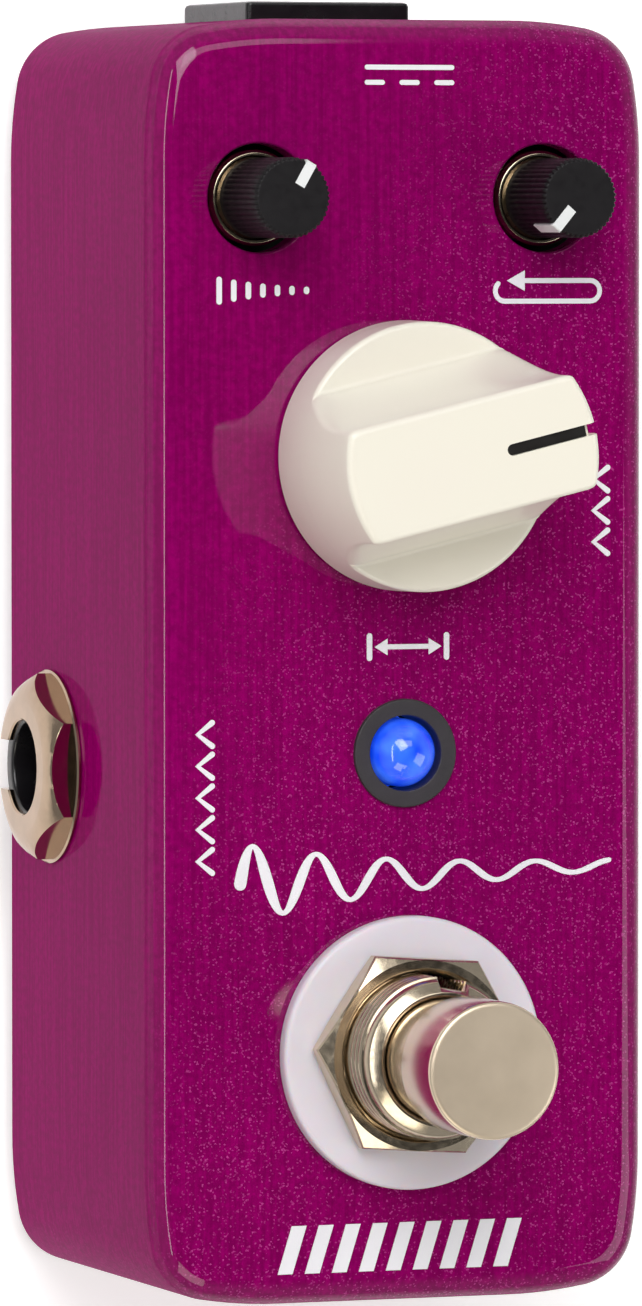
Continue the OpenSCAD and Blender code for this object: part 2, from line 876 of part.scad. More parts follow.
module time_pot_bushing() {
    color([0.78, 0.76, 0.72])
    at_time() ring(pot_top, time_bushing_top, time_bushing_r, time_shaft_r + running);
}

module time_pot_washer() {
    color([0.75, 0.73, 0.7])
    at_time() ring(face_z, face_z + pot_washer_t, 5.6, time_bushing_r + seat);
}

module time_pot_nut() {
    low = face_z + pot_washer_t;
    color([0.75, 0.73, 0.7])
    at_time() hex_nut(low, low + pot_nut_t, pot_nut_af, time_bushing_r + seat, 0.5);
}

// White mark let into a small knob: along its top and part of the way down its side
module mark_block() {
    intersection() {
        union() {
            translate([mark_start, -mark_w / 2, small_top - mark_deep])
                cube([small_r, mark_w, mark_deep]);
            translate([small_r - mark_deep, -mark_w / 2, small_top - mark_drop])
                cube([mark_deep, mark_w, mark_drop]);
        }
        small_drum();
    }
}

module small_drum() {
    drum(small_low, small_top - 0.25, small_r);
    drum(small_top - 0.25, small_top, small_r, small_r - 0.2);
}

module small_knob() {
    difference() {
        small_drum();
        for (i = [0.5:flutes - 0.5]) rotate([0, 0, 360 * i / flutes]) translate([small_r + 0.1, 0, 0])
            drum(small_low + 1.2, small_top + cut, flute_r, $fn = 16);
        mark_block();
        drum(small_low - cut, small_top - 2, small_shaft_r + seat);
    }
}

module small_bushing() {
    ring(pot_top, small_bushing_top, time_bushing_r, small_shaft_r + running);
}

small_shaft_top = small_top - 2.1;

module echo_knob() {
    color([0.05, 0.05, 0.055]) at_echo() rotate([0, 0, echo_angle]) small_knob();
}

module echo_knob_mark() {
    color([0.92, 0.92, 0.92]) at_echo() rotate([0, 0, echo_angle]) mark_block();
}

module echo_pot_shaft() {
    color([0.75, 0.75, 0.74]) at_echo() pot_shaft(small_shaft_r, small_shaft_top);
}

module echo_pot_body() {
    color([0.2, 0.3, 0.22]) at_echo() pot_body(small_shaft_r);
}

module echo_pot_bushing() {
    color([0.78, 0.76, 0.72]) at_echo() small_bushing();
}

module feedback_knob() {
    color([0.05, 0.05, 0.055]) at_feedback() rotate([0, 0, feedback_angle]) small_knob();
}

module feedback_knob_mark() {
    color([0.92, 0.92, 0.92]) at_feedback() rotate([0, 0, feedback_angle]) mark_block();
}

module feedback_pot_shaft() {
    color([0.75, 0.75, 0.74]) at_feedback() pot_shaft(small_shaft_r, small_shaft_top);
}

module feedback_pot_body() {
    color([0.2, 0.3, 0.22]) at_feedback() pot_body(small_shaft_r);
}

module feedback_pot_bushing() {
    color([0.78, 0.76, 0.72]) at_feedback() small_bushing();
}

enclosure();
bottom_plate();
bottom_screws();
rubber_pad();
main_board();
board_chips();
board_capacitors();
board_resistors();
clock_crystal();
wire_header();
switch_wires();
led_bezel();
led_lens();
led_leads();
output_jack_body();
output_jack_bushing();
output_jack_nut();
output_tip_contact();
output_sleeve_contact();
input_jack_body();
input_jack_bushing();
input_jack_nut();
input_tip_contact();
input_sleeve_contact();
power_socket_housing();
power_socket_pin();
power_socket_contact();
power_socket_terminals();
footswitch_housing();
footswitch_frame();
footswitch_bushing();
footswitch_nut();
footswitch_washer();
footswitch_lock_nut();
footswitch_terminals();
footswitch_spring();
footswitch_plunger();
time_knob();
time_knob_index();
time_pot_shaft();
time_pot_body();
time_pot_bushing();
time_pot_nut();
time_pot_washer();
echo_knob();
echo_knob_mark();
echo_pot_shaft();
echo_pot_body();
echo_pot_bushing();
feedback_knob();
feedback_knob_mark();
feedback_pot_shaft();
feedback_pot_body();
feedback_pot_bushing();
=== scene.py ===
import math

import bmesh
import bpy
from mathutils import Matrix, Vector


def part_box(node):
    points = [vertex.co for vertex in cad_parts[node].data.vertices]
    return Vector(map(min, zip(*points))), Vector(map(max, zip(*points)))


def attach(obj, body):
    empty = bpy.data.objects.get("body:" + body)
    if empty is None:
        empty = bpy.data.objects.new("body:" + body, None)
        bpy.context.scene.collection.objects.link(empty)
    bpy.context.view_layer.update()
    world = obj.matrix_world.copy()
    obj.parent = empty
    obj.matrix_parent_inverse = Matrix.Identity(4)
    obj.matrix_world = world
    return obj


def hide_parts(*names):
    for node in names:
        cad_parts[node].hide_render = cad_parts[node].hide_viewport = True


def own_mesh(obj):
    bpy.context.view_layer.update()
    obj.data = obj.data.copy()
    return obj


# Guitar effects pedal: the finished surfaces, built around the CAD frame. Lengths are in mm.
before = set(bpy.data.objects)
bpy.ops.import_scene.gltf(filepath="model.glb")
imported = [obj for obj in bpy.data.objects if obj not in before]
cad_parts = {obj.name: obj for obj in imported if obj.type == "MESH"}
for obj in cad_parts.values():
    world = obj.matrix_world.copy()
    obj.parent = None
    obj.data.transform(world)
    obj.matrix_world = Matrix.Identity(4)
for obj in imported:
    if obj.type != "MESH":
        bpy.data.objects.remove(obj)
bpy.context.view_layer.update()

MM = 0.001
ROOT = "root"
QUARTER = math.pi / 2


# ---- sizes read from the frame
def node_box(node):
    """Lowest corner, highest corner and centre of a CAD node, in mm."""
    low, high = (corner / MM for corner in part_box(node))
    return low, high, (low + high) / 2


case_low, case_high, _ = node_box("enclosure")
CASE_W = case_high.x - case_low.x
CASE_L = case_high.y - case_low.y
RIM_Z = case_low.z
FACE_Z = case_high.z
PLATE_TOP = node_box("bottom_plate")[1].z

# ---- sizes of the casting and its holes
WALL = 2.0                   # side walls
FACE_T = 2.0                 # face
EDGE_R = 2.2                 # edge round the face
CORNER_R = 4.64              # upright corners
EASE_R = 34.5                # gentle arc on each side of a corner
EASE_A = math.radians(9.9)   # turn of that arc
PLATE_INSET = 1.0            # rebate for the bottom plate
HOLE_EDGE = 0.22             # rounded lip of a hole
FACE_HOLES = {"echo_knob": 3.95, "feedback_knob": 3.95, "time_pot_bushing": 3.55, "led_bezel": 3.27,
              "footswitch_bushing": 6.0}
SIDE_HOLES = {"output_jack_nut": -1, "input_jack_nut": 1}
SIDE_HOLE_R = 4.5
KNOB_TOP_R = 9.65            # large knob


# ---- 2D outlines
def arc(centre, radius, start, end, steps):
    """Points on an arc, both ends included."""
    turns = [start + (end - start) * i / steps for i in range(steps + 1)]
    return [(centre[0] + radius * math.cos(t), centre[1] + radius * math.sin(t)) for t in turns]


def case_outline(inset):
    """The case's outline in plan, set in by inset: three arcs to a corner, as in the casting."""
    reach = EASE_R - (EASE_R - CORNER_R) * (math.cos(EASE_A) - math.sin(EASE_A))
    half_w, half_l = CASE_W / 2, CASE_L / 2
    mid = (half_w - EASE_R + (EASE_R - CORNER_R) * math.cos(EASE_A),
           half_l - reach + (EASE_R - CORNER_R) * math.sin(EASE_A))
    corner = arc((half_w - EASE_R, half_l - reach), EASE_R - inset, 0, EASE_A, 6)[:-1]
    corner += arc(mid, CORNER_R - inset, EASE_A, QUARTER - EASE_A, 18)
    corner += arc((half_w - reach, half_l - EASE_R), EASE_R - inset, QUARTER - EASE_A, QUARTER, 6)[1:]
    mirrored = [(-x, y) for x, y in reversed(corner)]
    return corner + mirrored + [(-x, -y) for x, y in corner] + [(-x, -y) for x, y in mirrored]


def rounded_box(low, high, radius, inset, steps):
    """A rectangle between two corners, its own corners rounded, all of it set in by inset."""
    points = []
    left, right, lower, upper = low[0] + radius, high[0] - radius, low[1] + radius, high[1] - radius
    for k, centre in enumerate(((right, upper), (left, upper), (left, lower), (right, lower))):
        points += arc(centre, radius - inset, k * QUARTER, (k + 1) * QUARTER, steps)
    return points


def rounded(points, radii, steps=4):
    """A profile with each corner rounded by its own radius. The first and last points stay sharp."""
    made = [points[0]]
    for before, at, after, radius in zip(points, points[1:], points[2:], radii):
        into = Vector(at) - Vector(before)
        out = Vector(after) - Vector(at)
        bend = into.angle_signed(out, 0.0)
        if radius <= 0 or abs(bend) < 0.02:
            made.append(at)
            continue
        reach = radius * math.tan(abs(bend) / 2)
        reach = min(reach, 0.49 * into.length, 0.49 * out.length)
        start = Vector(at) - into.normalized() * reach
        end = Vector(at) + out.normalized() * reach
        for i in range(steps + 1):
            t = i / steps
            made.append(tuple(start.lerp(Vector(at), t).lerp(Vector(at).lerp(end, t), t)))
    return made + [points[-1]]


# ---- meshes
class Shape:
    """Corners and faces being gathered for one piece, in mm."""

    def __init__(self, first=None, matrix=None):
        self.points = []
        self.faces = []
        if first:
            self.add(*first, matrix=matrix)

    def add(self, points, faces, matrix=None):
        base = len(self.points)
        self.points += [tuple(matrix @ Vector(p)) if matrix else tuple(p) for p in points]
        self.faces += [tuple(base + i for i in face) for face in faces]

    def mesh(self, name):
        """The gathered corners and faces as a Blender mesh, in metres, its normals facing out."""
        mesh = bpy.data.meshes.new(name)
        mesh.from_pydata([Vector(p) * MM for p in self.points], [], self.faces)
        work = bmesh.new()
        work.from_mesh(mesh)
        bmesh.ops.remove_doubles(work, verts=work.verts, dist=1e-7)
        bmesh.ops.recalc_face_normals(work, faces=work.faces)
        work.to_mesh(mesh)
        work.free()
        mesh.validate()
        return mesh


def skin(rings):
    """Points and faces of a tube over rings of equal length, with flat ends."""
    sides = len(rings[0])
    points = [p for ring in rings for p in ring]
    ends = len(points) - sides
    faces = [(i + k, i + (k + 1) % sides, i + sides + (k + 1) % sides, i + sides + k)
             for i in range(0, ends, sides) for k in range(sides)]
    faces += [tuple(range(sides - 1, -1, -1)), tuple(range(ends, ends + sides))]
    return points, faces


def at_angle(value, a):
    """A number, or what a function of the angle gives."""
    return value(a) if callable(value) else value


def turned(profile, steps=96, radius_at=None, turn=0.0):
    """Points and faces of a profile of (radius, height) turned about Z. A closed profile makes a ring.

    A radius or height may be a function of the angle, and radius_at may change any point's radius.
    """
    closed = profile[0] == profile[-1]
    ring_points = profile[:-1] if closed else profile
    points, faces = [], []
    angles = [turn + 2 * math.pi * k / steps for k in range(steps)]
    index = []
    for radius, height in ring_points:
        if radius == 0:
            index.append([len(points)] * steps)
            points.append((0, 0, height))
            continue
        index.append([len(points) + k for k in range(steps)])
        for a in angles:
            r, z = at_angle(radius, a), at_angle(height, a)
            if radius_at:
                r = radius_at(r, z, a)
            points.append((r * math.cos(a), r * math.sin(a), z))
    pairs = list(zip(index, index[1:])) + ([(index[-1], index[0])] if closed else [])
    for low, high in pairs:
        for k in range(steps):
            face = [low[k], low[(k + 1) % steps], high[(k + 1) % steps], high[k]]
            face = list(dict.fromkeys(face))
            if len(face) > 2:
                faces.append(tuple(face))
    return points, faces


def raised(outline, low, high):
    """Points and faces of a plan outline raised from one height to another."""
    return skin([[(x, y, z) for x, y in outline] for z in (low, high)])


def boxed(low, high):
    """Points and faces of a box between two corners."""
    outline = [(low[0], low[1]), (high[0], low[1]), (high[0], high[1]), (low[0], high[1])]
    return raised(outline, low[2], high[2])


def loose(shape, name):
    """An object that is only a tool for building another one."""
    obj = bpy.data.objects.new(name, shape.mesh(name))
    bpy.context.scene.collection.objects.link(obj)
    return obj


def carve(obj, tools, operation="DIFFERENCE"):
    """Cuts the tools out of obj, or joins or crosses them, and removes them."""
    for tool in tools:
        modifier = obj.modifiers.new("carve", "BOOLEAN")
        modifier.object = tool
        modifier.operation = operation
        modifier.solver = "EXACT"
    settle(obj)
    for tool in tools:
        bpy.data.objects.remove(tool)


def settle(obj):
    """Applies every modifier of obj."""
    bpy.context.view_layer.update()
    made = bpy.data.meshes.new_from_object(obj.evaluated_get(bpy.context.evaluated_depsgraph_get()))
    obj.modifiers.clear()
    obj.data = made


def finish_piece(obj, body, slot, surface, replaces=(), sharp=32, weighted=False):
    """Smooth shading, material and body of a finished piece. Its slot is not used."""
    mesh = obj.data
    mesh.polygons.foreach_set("use_smooth", [True] * len(mesh.polygons))
    mesh.set_sharp_from_angle(angle=math.radians(sharp))
    mesh.materials.clear()
    mesh.materials.append(surface)
    if weighted:
        modifier = obj.modifiers.new("flat faces stay flat", "WEIGHTED_NORMAL")
        modifier.keep_sharp = True
        modifier.weight = 90
    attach(obj, body)
    if replaces:
        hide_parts(*replaces)
    return obj


def make(name, shape, *facts, **more):
    """A finished piece straight from its shape. The rest is as for finish_piece."""
    return finish_piece(loose(shape, name), *facts, **more)


# ---- materials
def linear(*rgb):
    """Display colour, 0 to 255, as the linear colour that shaders take."""
    shares = [c / 255 for c in rgb]
    return tuple(c / 12.92 if c <= 0.04 else ((c + 0.055) / 1.055) ** 2.4 for c in shares) + (1.0,)


NOISE_SPAN = (0.3, 0.7)      # where most of a noise's values lie


def spread(tree, value, *limits):
    """Maps a value between four limits, from low and high to low and high, held at the ends."""
    node = tree.nodes.new("ShaderNodeMapRange")
    for socket, number in zip(("From Min", "From Max", "To Min", "To Max"), limits):
        node.inputs[socket].default_value = number
    tree.links.new(value, node.inputs["Value"])
    return node.outputs["Result"]


class Surface:
    """A procedural material: one Principled shader, and noise in the object's own coordinates."""

    def __init__(self, name, colour, roughness, metallic=0.0, **plain):
        self.material = bpy.data.materials.new(name)
        self.material.use_nodes = True
        self.tree = self.material.node_tree
        self.shader = self.tree.nodes["Principled BSDF"]
        for socket, value in dict(plain, Base_Color=colour, Roughness=roughness, Metallic=metallic).items():
            self.set(socket.replace("_", " "), value)
        self.place = self.tree.nodes.new("ShaderNodeTexCoord").outputs["Object"]
        self.material.diffuse_color = colour

    def feed(self, socket, value):
        """Gives a socket its value: a number, a colour or another node's output."""
        if isinstance(value, bpy.types.NodeSocket):
            self.tree.links.new(value, socket)
        else:
            socket.default_value = value

    def set(self, name, value):
        """Gives one of the shader's own sockets its value."""
        self.feed(self.shader.inputs[name], value)

    def texture(self, kind, size, stretch=(1, 1, 1)):
        """A texture node whose features are size mm across, pulled out along each axis by stretch."""
        mapping = self.tree.nodes.new("ShaderNodeMapping")
        mapping.inputs["Scale"].default_value = [1 / (size * MM * s) for s in stretch]
        node = self.tree.nodes.new(kind)
        node.inputs["Scale"].default_value = 1.0
        self.feed(mapping.inputs["Vector"], self.place)
        self.feed(node.inputs["Vector"], mapping.outputs["Vector"])
        return node

    def noise(self, size, stretch=(1, 1, 1), detail=2.0, rough=0.5):
        """Noise whose blobs are about size mm across."""
        noise = self.texture("ShaderNodeTexNoise", size, stretch)
        noise.inputs["Detail"].default_value = detail
        noise.inputs["Roughness"].default_value = rough
        return noise.outputs["Fac"]

    def flakes(self, size):
        """One random value to each small cell, size mm across."""
        split = self.tree.nodes.new("ShaderNodeSeparateColor")
        self.feed(split.inputs["Color"], self.texture("ShaderNodeTexVoronoi", size).outputs["Color"])
        return split.outputs["Red"]

    def along(self, axis):
        """Place along one axis, in metres."""
        split = self.tree.nodes.new("ShaderNodeSeparateXYZ")
        self.feed(split.inputs["Vector"], self.place)
        return split.outputs[axis]

    def spread(self, value, low, high, to_low, to_high):
        """value from low..high to to_low..to_high, held at the ends."""
        return spread(self.tree, value, low, high, to_low, to_high)

    def maths(self, operation, a, b):
        """One sum of two values, each a number or another value."""
        node = self.tree.nodes.new("ShaderNodeMath")
        node.operation = operation
        self.feed(node.inputs[0], a)
        self.feed(node.inputs[1], b)
        return node.outputs["Value"]

    def mix(self, share, first, second):
        """Colour between first and second, each a colour or another mix."""
        node = self.tree.nodes.new("ShaderNodeMix")
        node.data_type = "RGBA"
        # The factor, and the two colours among the sockets of every data type
        for index, value in ((0, share), (6, first), (7, second)):
            self.feed(node.inputs[index], value)
        return node.outputs[2]

    def blotches(self, size, first, second, detail=2.0):
        """Colour that drifts between first and second in patches about size mm across."""
        return self.mix(self.spread(self.noise(size, detail=detail), *NOISE_SPAN, 0.0, 1.0), first, second)

    def rough(self, noise, low, high):
        """Roughness that drifts from low to high with a noise."""
        self.set("Roughness", self.spread(noise, *NOISE_SPAN, low, high))

    def bump(self, value, depth, strength=1.0):
        """Surface relief depth mm high, over any relief already there."""
        node = self.tree.nodes.new("ShaderNodeBump")
        node.inputs["Strength"].default_value = strength
        node.inputs["Distance"].default_value = depth * MM
        self.feed(node.inputs["Height"], value)
        before = self.shader.inputs["Normal"]
        if before.is_linked:
            self.feed(node.inputs["Normal"], before.links[0].from_socket)
        self.feed(before, node.outputs["Normal"])


def plain_surface(name, colour, roughness, shade=0.75, size=1.5, grain=0.004, **plain):
    """A moulded or rolled finish: slight colour drift, uneven gloss and fine grain."""
    s = Surface(name, colour, roughness, **plain)
    darker = tuple(c * shade for c in colour[:3]) + (1.0,)
    s.set("Base Color", s.blotches(size * 3, darker, colour, 3.0))
    s.rough(s.noise(size, detail=3.0), roughness * 0.85, min(1.0, roughness * 1.2))
    s.bump(s.noise(size * 0.15), grain)
    return s.material


def paint_surface():
    """Magenta metallic lacquer: dark base coat, lighter flakes that carry painted glints, faint brushed
    streaks under a clear coat.
    """
    # pale is the colour of the flakes where they carry a painted glint
    base, light, pale = linear(124, 0, 82), linear(146, 0, 98), linear(214, 84, 170)
    s = Surface("case_paint", base, 0.42, 0.08, Coat_Weight=0.12, Coat_Roughness=0.05, Specular_IOR_Level=0.0)
    s.set("Specular Tint", (1.0, 0.15, 0.65, 1.0))
    # The clear coat is thick on the face and its rounded edge, and thin down the sides
    side_coat, face_coat = 0.12, 0.8
    low, high = (FACE_Z - 1.7) * MM, (FACE_Z - 0.8) * MM
    s.set("Coat Weight", s.spread(s.along("Z"), low, high, side_coat, face_coat))
    streaks = s.noise(0.28, (1, 45, 1), 2.0, 0.6)
    cloud = s.noise(0.55, detail=3.0, rough=0.6)
    ground = s.mix(s.spread(s.maths("MULTIPLY", streaks, cloud), 0.16, 0.38, 0.0, 1.0), base, light)
    # Lighter flakes in the paint that also carry a painted highlight: they glint most towards the front right
    # of the face and fade out down the side
    flakes_and_painted_glints = s.spread(s.flakes(0.12), 0.88, 1.0, 0.0, 0.5)
    x, y = s.maths("DIVIDE", s.along("X"), 0.019), s.maths("DIVIDE", s.along("Y"), 0.046)
    across = s.maths("SUBTRACT", x, y)
    painted_glint_from_corner = s.spread(across, -0.9, -0.2, 0.1, 1.0)
    painted_glint_from_side = s.spread(s.along("X"), -0.0192, -0.0165, 0.1, 1.0)
    painted_glints_shown = s.maths("MULTIPLY", flakes_and_painted_glints, s.maths("MULTIPLY", painted_glint_from_corner, painted_glint_from_side))
    s.set("Base Color", s.mix(painted_glints_shown, ground, pale))
    s.rough(cloud, 0.36, 0.5)
    s.bump(streaks, 0.004, 0.5)
    s.bump(s.noise(0.9), 0.006, 0.5)
    return s.material


def nickel_surface(name, colour, roughness, grain=0.001):
    """Plated or bare metal, with soft tarnish and fine polishing marks."""
    s = Surface(name, colour, roughness, 1.0)
    dull = tuple(c * 0.86 for c in colour[:3]) + (1.0,)
    tarnish = s.noise(2.2, detail=4.0, rough=0.6)
    s.set("Base Color", s.mix(s.spread(tarnish, 0.35, 0.7, 0.0, 1.0), colour, dull))
    s.rough(s.noise(0.5, detail=3.0), roughness * 0.8, roughness * 1.3)
    s.bump(s.noise(0.12), grain)
    return s.material


def cap_surface(top_z):
    """Polished nickel that is satin on its flat top, at top_z."""
    fresh, dull = linear(236, 218, 194), linear(226, 208, 184)
    s = Surface("cap_metal", fresh, 0.3, 1.0)
    polished, satin = 0.16, 0.46
    s.set("Roughness", s.spread(s.along("Z"), (top_z - 0.25) * MM, (top_z - 0.08) * MM, polished, satin))
    s.set("Base Color", s.blotches(3.0, fresh, dull, 3.0))
    s.bump(s.noise(0.2), 0.0003)
    return s.material


def cream_surface():
    """Glossy cream plastic."""
    warm, pale = linear(245, 239, 225), linear(245, 240, 225)
    s = Surface("knob_cream", pale, 0.28, Coat_Weight=0.25, Coat_Roughness=0.12)
    s.set("Base Color", s.blotches(5.0, warm, pale))
    s.rough(s.noise(4.0, detail=1.0), 0.28, 0.32)
    return s.material


def lamp_surface():
    """Lit blue epoxy with an uneven glow."""
    s = Surface("lamp_blue", linear(30, 80, 235), 0.14, Coat_Weight=1.0, Coat_Roughness=0.03)
    s.set("Base Color", s.blotches(1.6, linear(20, 60, 220), linear(50, 110, 250), 1.0))
    s.set("Emission Strength", 0.55)
    s.set("Emission Color", s.blotches(1.6, linear(0, 70, 255), linear(60, 110, 255), 1.0))
    return s.material


paint = paint_surface()
nickel = nickel_surface("nickel", linear(206, 190, 166), 0.16)
nickel_worn = nickel_surface("nickel_worn", linear(214, 198, 174), 0.2)
cap_metal = cap_surface(node_box("footswitch_plunger")[1].z)
# A darker copy of the nickel for the socket nuts: painted shade
nickel_painted_shade = nickel_surface("nickel_painted_shade", linear(182, 160, 138), 0.14)
cream = cream_surface()
lamp = lamp_surface()
index_ink = plain_surface("index_ink", linear(22, 18, 16), 0.35, grain=0.003)
knob_black = plain_surface("knob_black", linear(20, 17, 20), 0.5, grain=0.006, size=0.8,
                           Specular_IOR_Level=0.25)
bezel_black = plain_surface("bezel_black", linear(52, 47, 52), 0.55, grain=0.005, size=0.8)
socket_black = plain_surface("socket_black", linear(22, 20, 23), 0.25, grain=0.003)
mark_white = plain_surface("mark_white", linear(236, 238, 238), 0.45, shade=0.93)
nylon = plain_surface("nylon", linear(226, 219, 228), 0.42, shade=0.97, grain=0.002,
                      Subsurface_Weight=0.3, Subsurface_Scale=0.001)
print_white = plain_surface("print_white", linear(240, 238, 244), 0.5, shade=0.94, grain=0.002)
plate_black = plain_surface("plate_black", linear(38, 38, 41), 0.45, grain=0.008, size=0.6)
rubber = plain_surface("pad_rubber", linear(30, 30, 31), 0.85, grain=0.03, size=0.8)
zinc = nickel_surface("zinc", linear(186, 184, 180), 0.3, 0.003)
tinned = nickel_surface("tinned", linear(205, 205, 200), 0.28, 0.002)
brass = nickel_surface("contact_brass", linear(214, 188, 120), 0.26, 0.002)
spring_steel = nickel_surface("spring_steel", linear(160, 160, 166), 0.3, 0.002)
board_green = plain_surface("board_green", linear(24, 96, 52), 0.35, shade=0.8, size=2.0)
chip_black = plain_surface("chip_black", linear(40, 40, 42), 0.55, grain=0.006)
can_sleeve = plain_surface("can_sleeve", linear(60, 62, 100), 0.3)
switch_blue = plain_surface("switch_blue", linear(40, 84, 170), 0.35)
phenolic = plain_surface("phenolic", linear(62, 84, 66), 0.5)
wire_red = plain_surface("wire_red", linear(190, 40, 34), 0.4)
header_white = plain_surface("header_white", linear(228, 225, 212), 0.5)


# ---- case
def hole_profile(radius, inner_end, surface, edge=HOLE_EDGE):
    """Profile of a round hole's cutter, from inner_end out through a surface. It leaves a rounded lip."""
    lip = [(radius + edge * (1 - math.cos(t)), surface - edge * (1 - math.sin(t)))
           for t in (QUARTER * i / 6 for i in range(7))]
    clear = surface + 0.5
    return [(0, inner_end), (radius, inner_end)] + lip + [(radius + edge, clear), (0, clear)]


def face_hole_tool(node, radius):
    """Cutter for the hole that a node stands in, through the face."""
    centre = node_box(node)[2]
    profile = hole_profile(radius, FACE_Z - FACE_T - 0.5, FACE_Z)
    return loose(Shape(turned(profile), Matrix.Translation((centre.x, centre.y, 0))), "face_hole_tool")


def sideways(side, centre):
    """Turns a shape's axis to point out of the left (-1) or right (1) side, through centre."""
    turn = Matrix.Rotation(math.radians(90 * side), 4, "Y")
    return Matrix.Translation((0, centre.y, centre.z)) @ turn


def side_hole_tool(node, side):
    """Cutter for the hole that a socket stands in, through a side wall."""
    profile = hole_profile(SIDE_HOLE_R, CASE_W / 2 - 2 * WALL, CASE_W / 2)
    return loose(Shape(turned(profile), sideways(side, node_box(node)[2])), "side_hole_tool")


def level(inset, z):
    """The case's outline at a height, set in by inset."""
    return [(x, y, z) for x, y in case_outline(inset)]


def build_case():
    """The casting: walls and face in one, open below, with its holes and the power socket's window."""
    lower_edge, steps = 0.35, 14
    rings = [level(lower_edge, RIM_Z), level(0.1, RIM_Z + 0.1), level(0, RIM_Z + lower_edge)]
    for t in (QUARTER * i / steps for i in range(steps + 1)):
        rings.append(level(EDGE_R * (1 - math.cos(t)), FACE_Z - EDGE_R * (1 - math.sin(t))))
    case = loose(Shape(skin(rings)), "case_shell")
    cavity = skin([level(WALL, PLATE_TOP - 0.5), level(WALL, FACE_Z - FACE_T)])
    rebate = skin([level(PLATE_INSET, RIM_Z - 0.5), level(PLATE_INSET, PLATE_TOP)])
    tools = [loose(Shape(cavity), "cavity"), loose(Shape(rebate), "rebate")]
    tools += [face_hole_tool(node, radius) for node, radius in FACE_HOLES.items()]
    tools += [side_hole_tool(node, side) for node, side in SIDE_HOLES.items()]
    low, high, _ = node_box("power_socket_housing")
    gap = 0.1
    window = boxed((low.x - gap, CASE_L / 2 - 2 * WALL, low.z - gap / 2),
                   (high.x + gap, CASE_L / 2 + 1, high.z + gap))
    tools.append(loose(Shape(window), "window"))
    carve(case, tools)
    finish_piece(case, ROOT, "case_paint", paint, ["enclosure"], weighted=True)


build_case()


# ---- bottom
def build_bottom():
    """Plate let into the casting's rebate, countersunk for its screws."""
    gap, edge = 0.07, 0.2
    inset = PLATE_INSET + gap
    rings = [level(inset + edge, RIM_Z), level(inset, RIM_Z + edge), level(inset, PLATE_TOP)]
    plate = loose(Shape(skin(rings)), "base_plate")
    screws_low, screws_high, _ = node_box("bottom_screws")
    screw_r, head_r, head_h, hole_r = 2.35, 2.45, 1.15, 1.35
    profile = [(0, RIM_Z - 1), (head_r + 0.1, RIM_Z - 1), (head_r + 0.1, RIM_Z), (head_r, RIM_Z + 0.1),
               (hole_r, RIM_Z + head_h), (hole_r, PLATE_TOP + 1), (0, PLATE_TOP + 1)]
    tools = [loose(Shape(turned(profile, 64), Matrix.Translation((x, y, 0))), "countersink")
             for x in (screws_low.x + screw_r, screws_high.x - screw_r)
             for y in (screws_low.y + screw_r, screws_high.y - screw_r)]
    carve(plate, tools)
    finish_piece(plate, ROOT, "plate_black", plate_black, ["bottom_plate"], weighted=True)


build_bottom()


def build_pad():
    """Rubber pad with soft edges and a row of straight grooves across its underside."""
    low, high, _ = node_box("rubber_pad")
    corner, edge = 4.0, 0.5

    def ring(inset, z):
        return [(x, y, z) for x, y in rounded_box(low, high, corner, inset, 10)]

    rings = [ring(edge, low.z), ring(edge * 0.3, low.z + edge * 0.3), ring(0, low.z + edge), ring(0, high.z)]
    pad = loose(Shape(skin(rings)), "rubber_foot")
    pitch, width, deep, side_margin, end_margin = 4.0, 0.7, 0.45, 4.0, 6.0
    count = int((high.y - low.y - 2 * end_margin) / pitch)
    grooves = Shape()
    for i in range(count + 1):
        y = (i - count / 2) * pitch
        grooves.add(*boxed((low.x + side_margin, y - width / 2, low.z - 1),
                           (high.x - side_margin, y + width / 2, low.z + deep)))
    carve(pad, [loose(grooves, "pad_grooves")])
    finish_piece(pad, ROOT, "pad_rubber", rubber, ["rubber_pad"], weighted=True)


build_pad()


# ---- large knob
def eased_min(a, b, width=0.7):
    """The smaller of two lengths, eased over where they cross."""
    return min(a, b) - max(width - abs(a - b), 0.0) ** 2 / (4 * width)


def knob_levels(top, foot):
    """The large knob, top to foot: height, disc radius, the bar's half width, and radius beside the bar."""
    shoulder = FACE_Z + 4.9
    foot_r, top_r, bar_half = 9.85, KNOB_TOP_R, 4.2
    edge, fillet, rim = 0.42, 0.45, 0.4
    flank_r, flank_top = 15.0, top - 1.6
    eighths = [QUARTER * i / 7 for i in range(8)]

    def disc_at(z):
        return top_r + (foot_r - top_r) * (top - z) / (top - foot)

    def bar_at(z):
        """Half the bar's width at a height: upright at first, then flaring out in an arc."""
        fall = max(0.0, flank_top - z)
        return bar_half + flank_r - math.sqrt(flank_r ** 2 - fall ** 2)

    # Rounded top edge
    levels = [(top, top_r - edge - 0.1, bar_half - edge - 0.1, 0)]
    for t in eighths:
        inset = edge * (1 - math.sin(t))
        levels.append((top - edge * (1 - math.cos(t)), top_r - inset, bar_half - inset, 0))
    # Flanks of the bar, then the fillet at their foot
    flank_low, flank_high, steps = shoulder + fillet, top - edge, 24
    for i in range(1, steps + 1):
        z = flank_high + (flank_low - flank_high) * i / steps
        levels.append((z, disc_at(z), bar_at(z), 0))
    disc = disc_at(shoulder)
    for t in eighths[1:]:
        half = bar_at(flank_low) + 0.75 * fillet * (1 - math.cos(t))
        levels.append((shoulder + fillet * (1 - math.sin(t)), disc, half, 0))
    # Flat shoulder beside the bar, its rounded rim, and the skirt
    foot_half, steps = levels[-1][2], 8
    for i in range(1, steps + 1):
        levels.append((shoulder, disc, foot_half + (disc - foot_half) * i / steps, disc - rim))
    whole = 2 * disc
    for t in eighths[1:]:
        levels.append((shoulder - rim * (1 - math.cos(t)), disc, whole, disc - rim * (1 - math.sin(t))))
    for height, inset in ((0.3, 0), (0.1, 0.06), (0, 0.25)):
        levels.append((foot + height, foot_r - inset, whole, foot_r - inset))
    return levels, foot_half


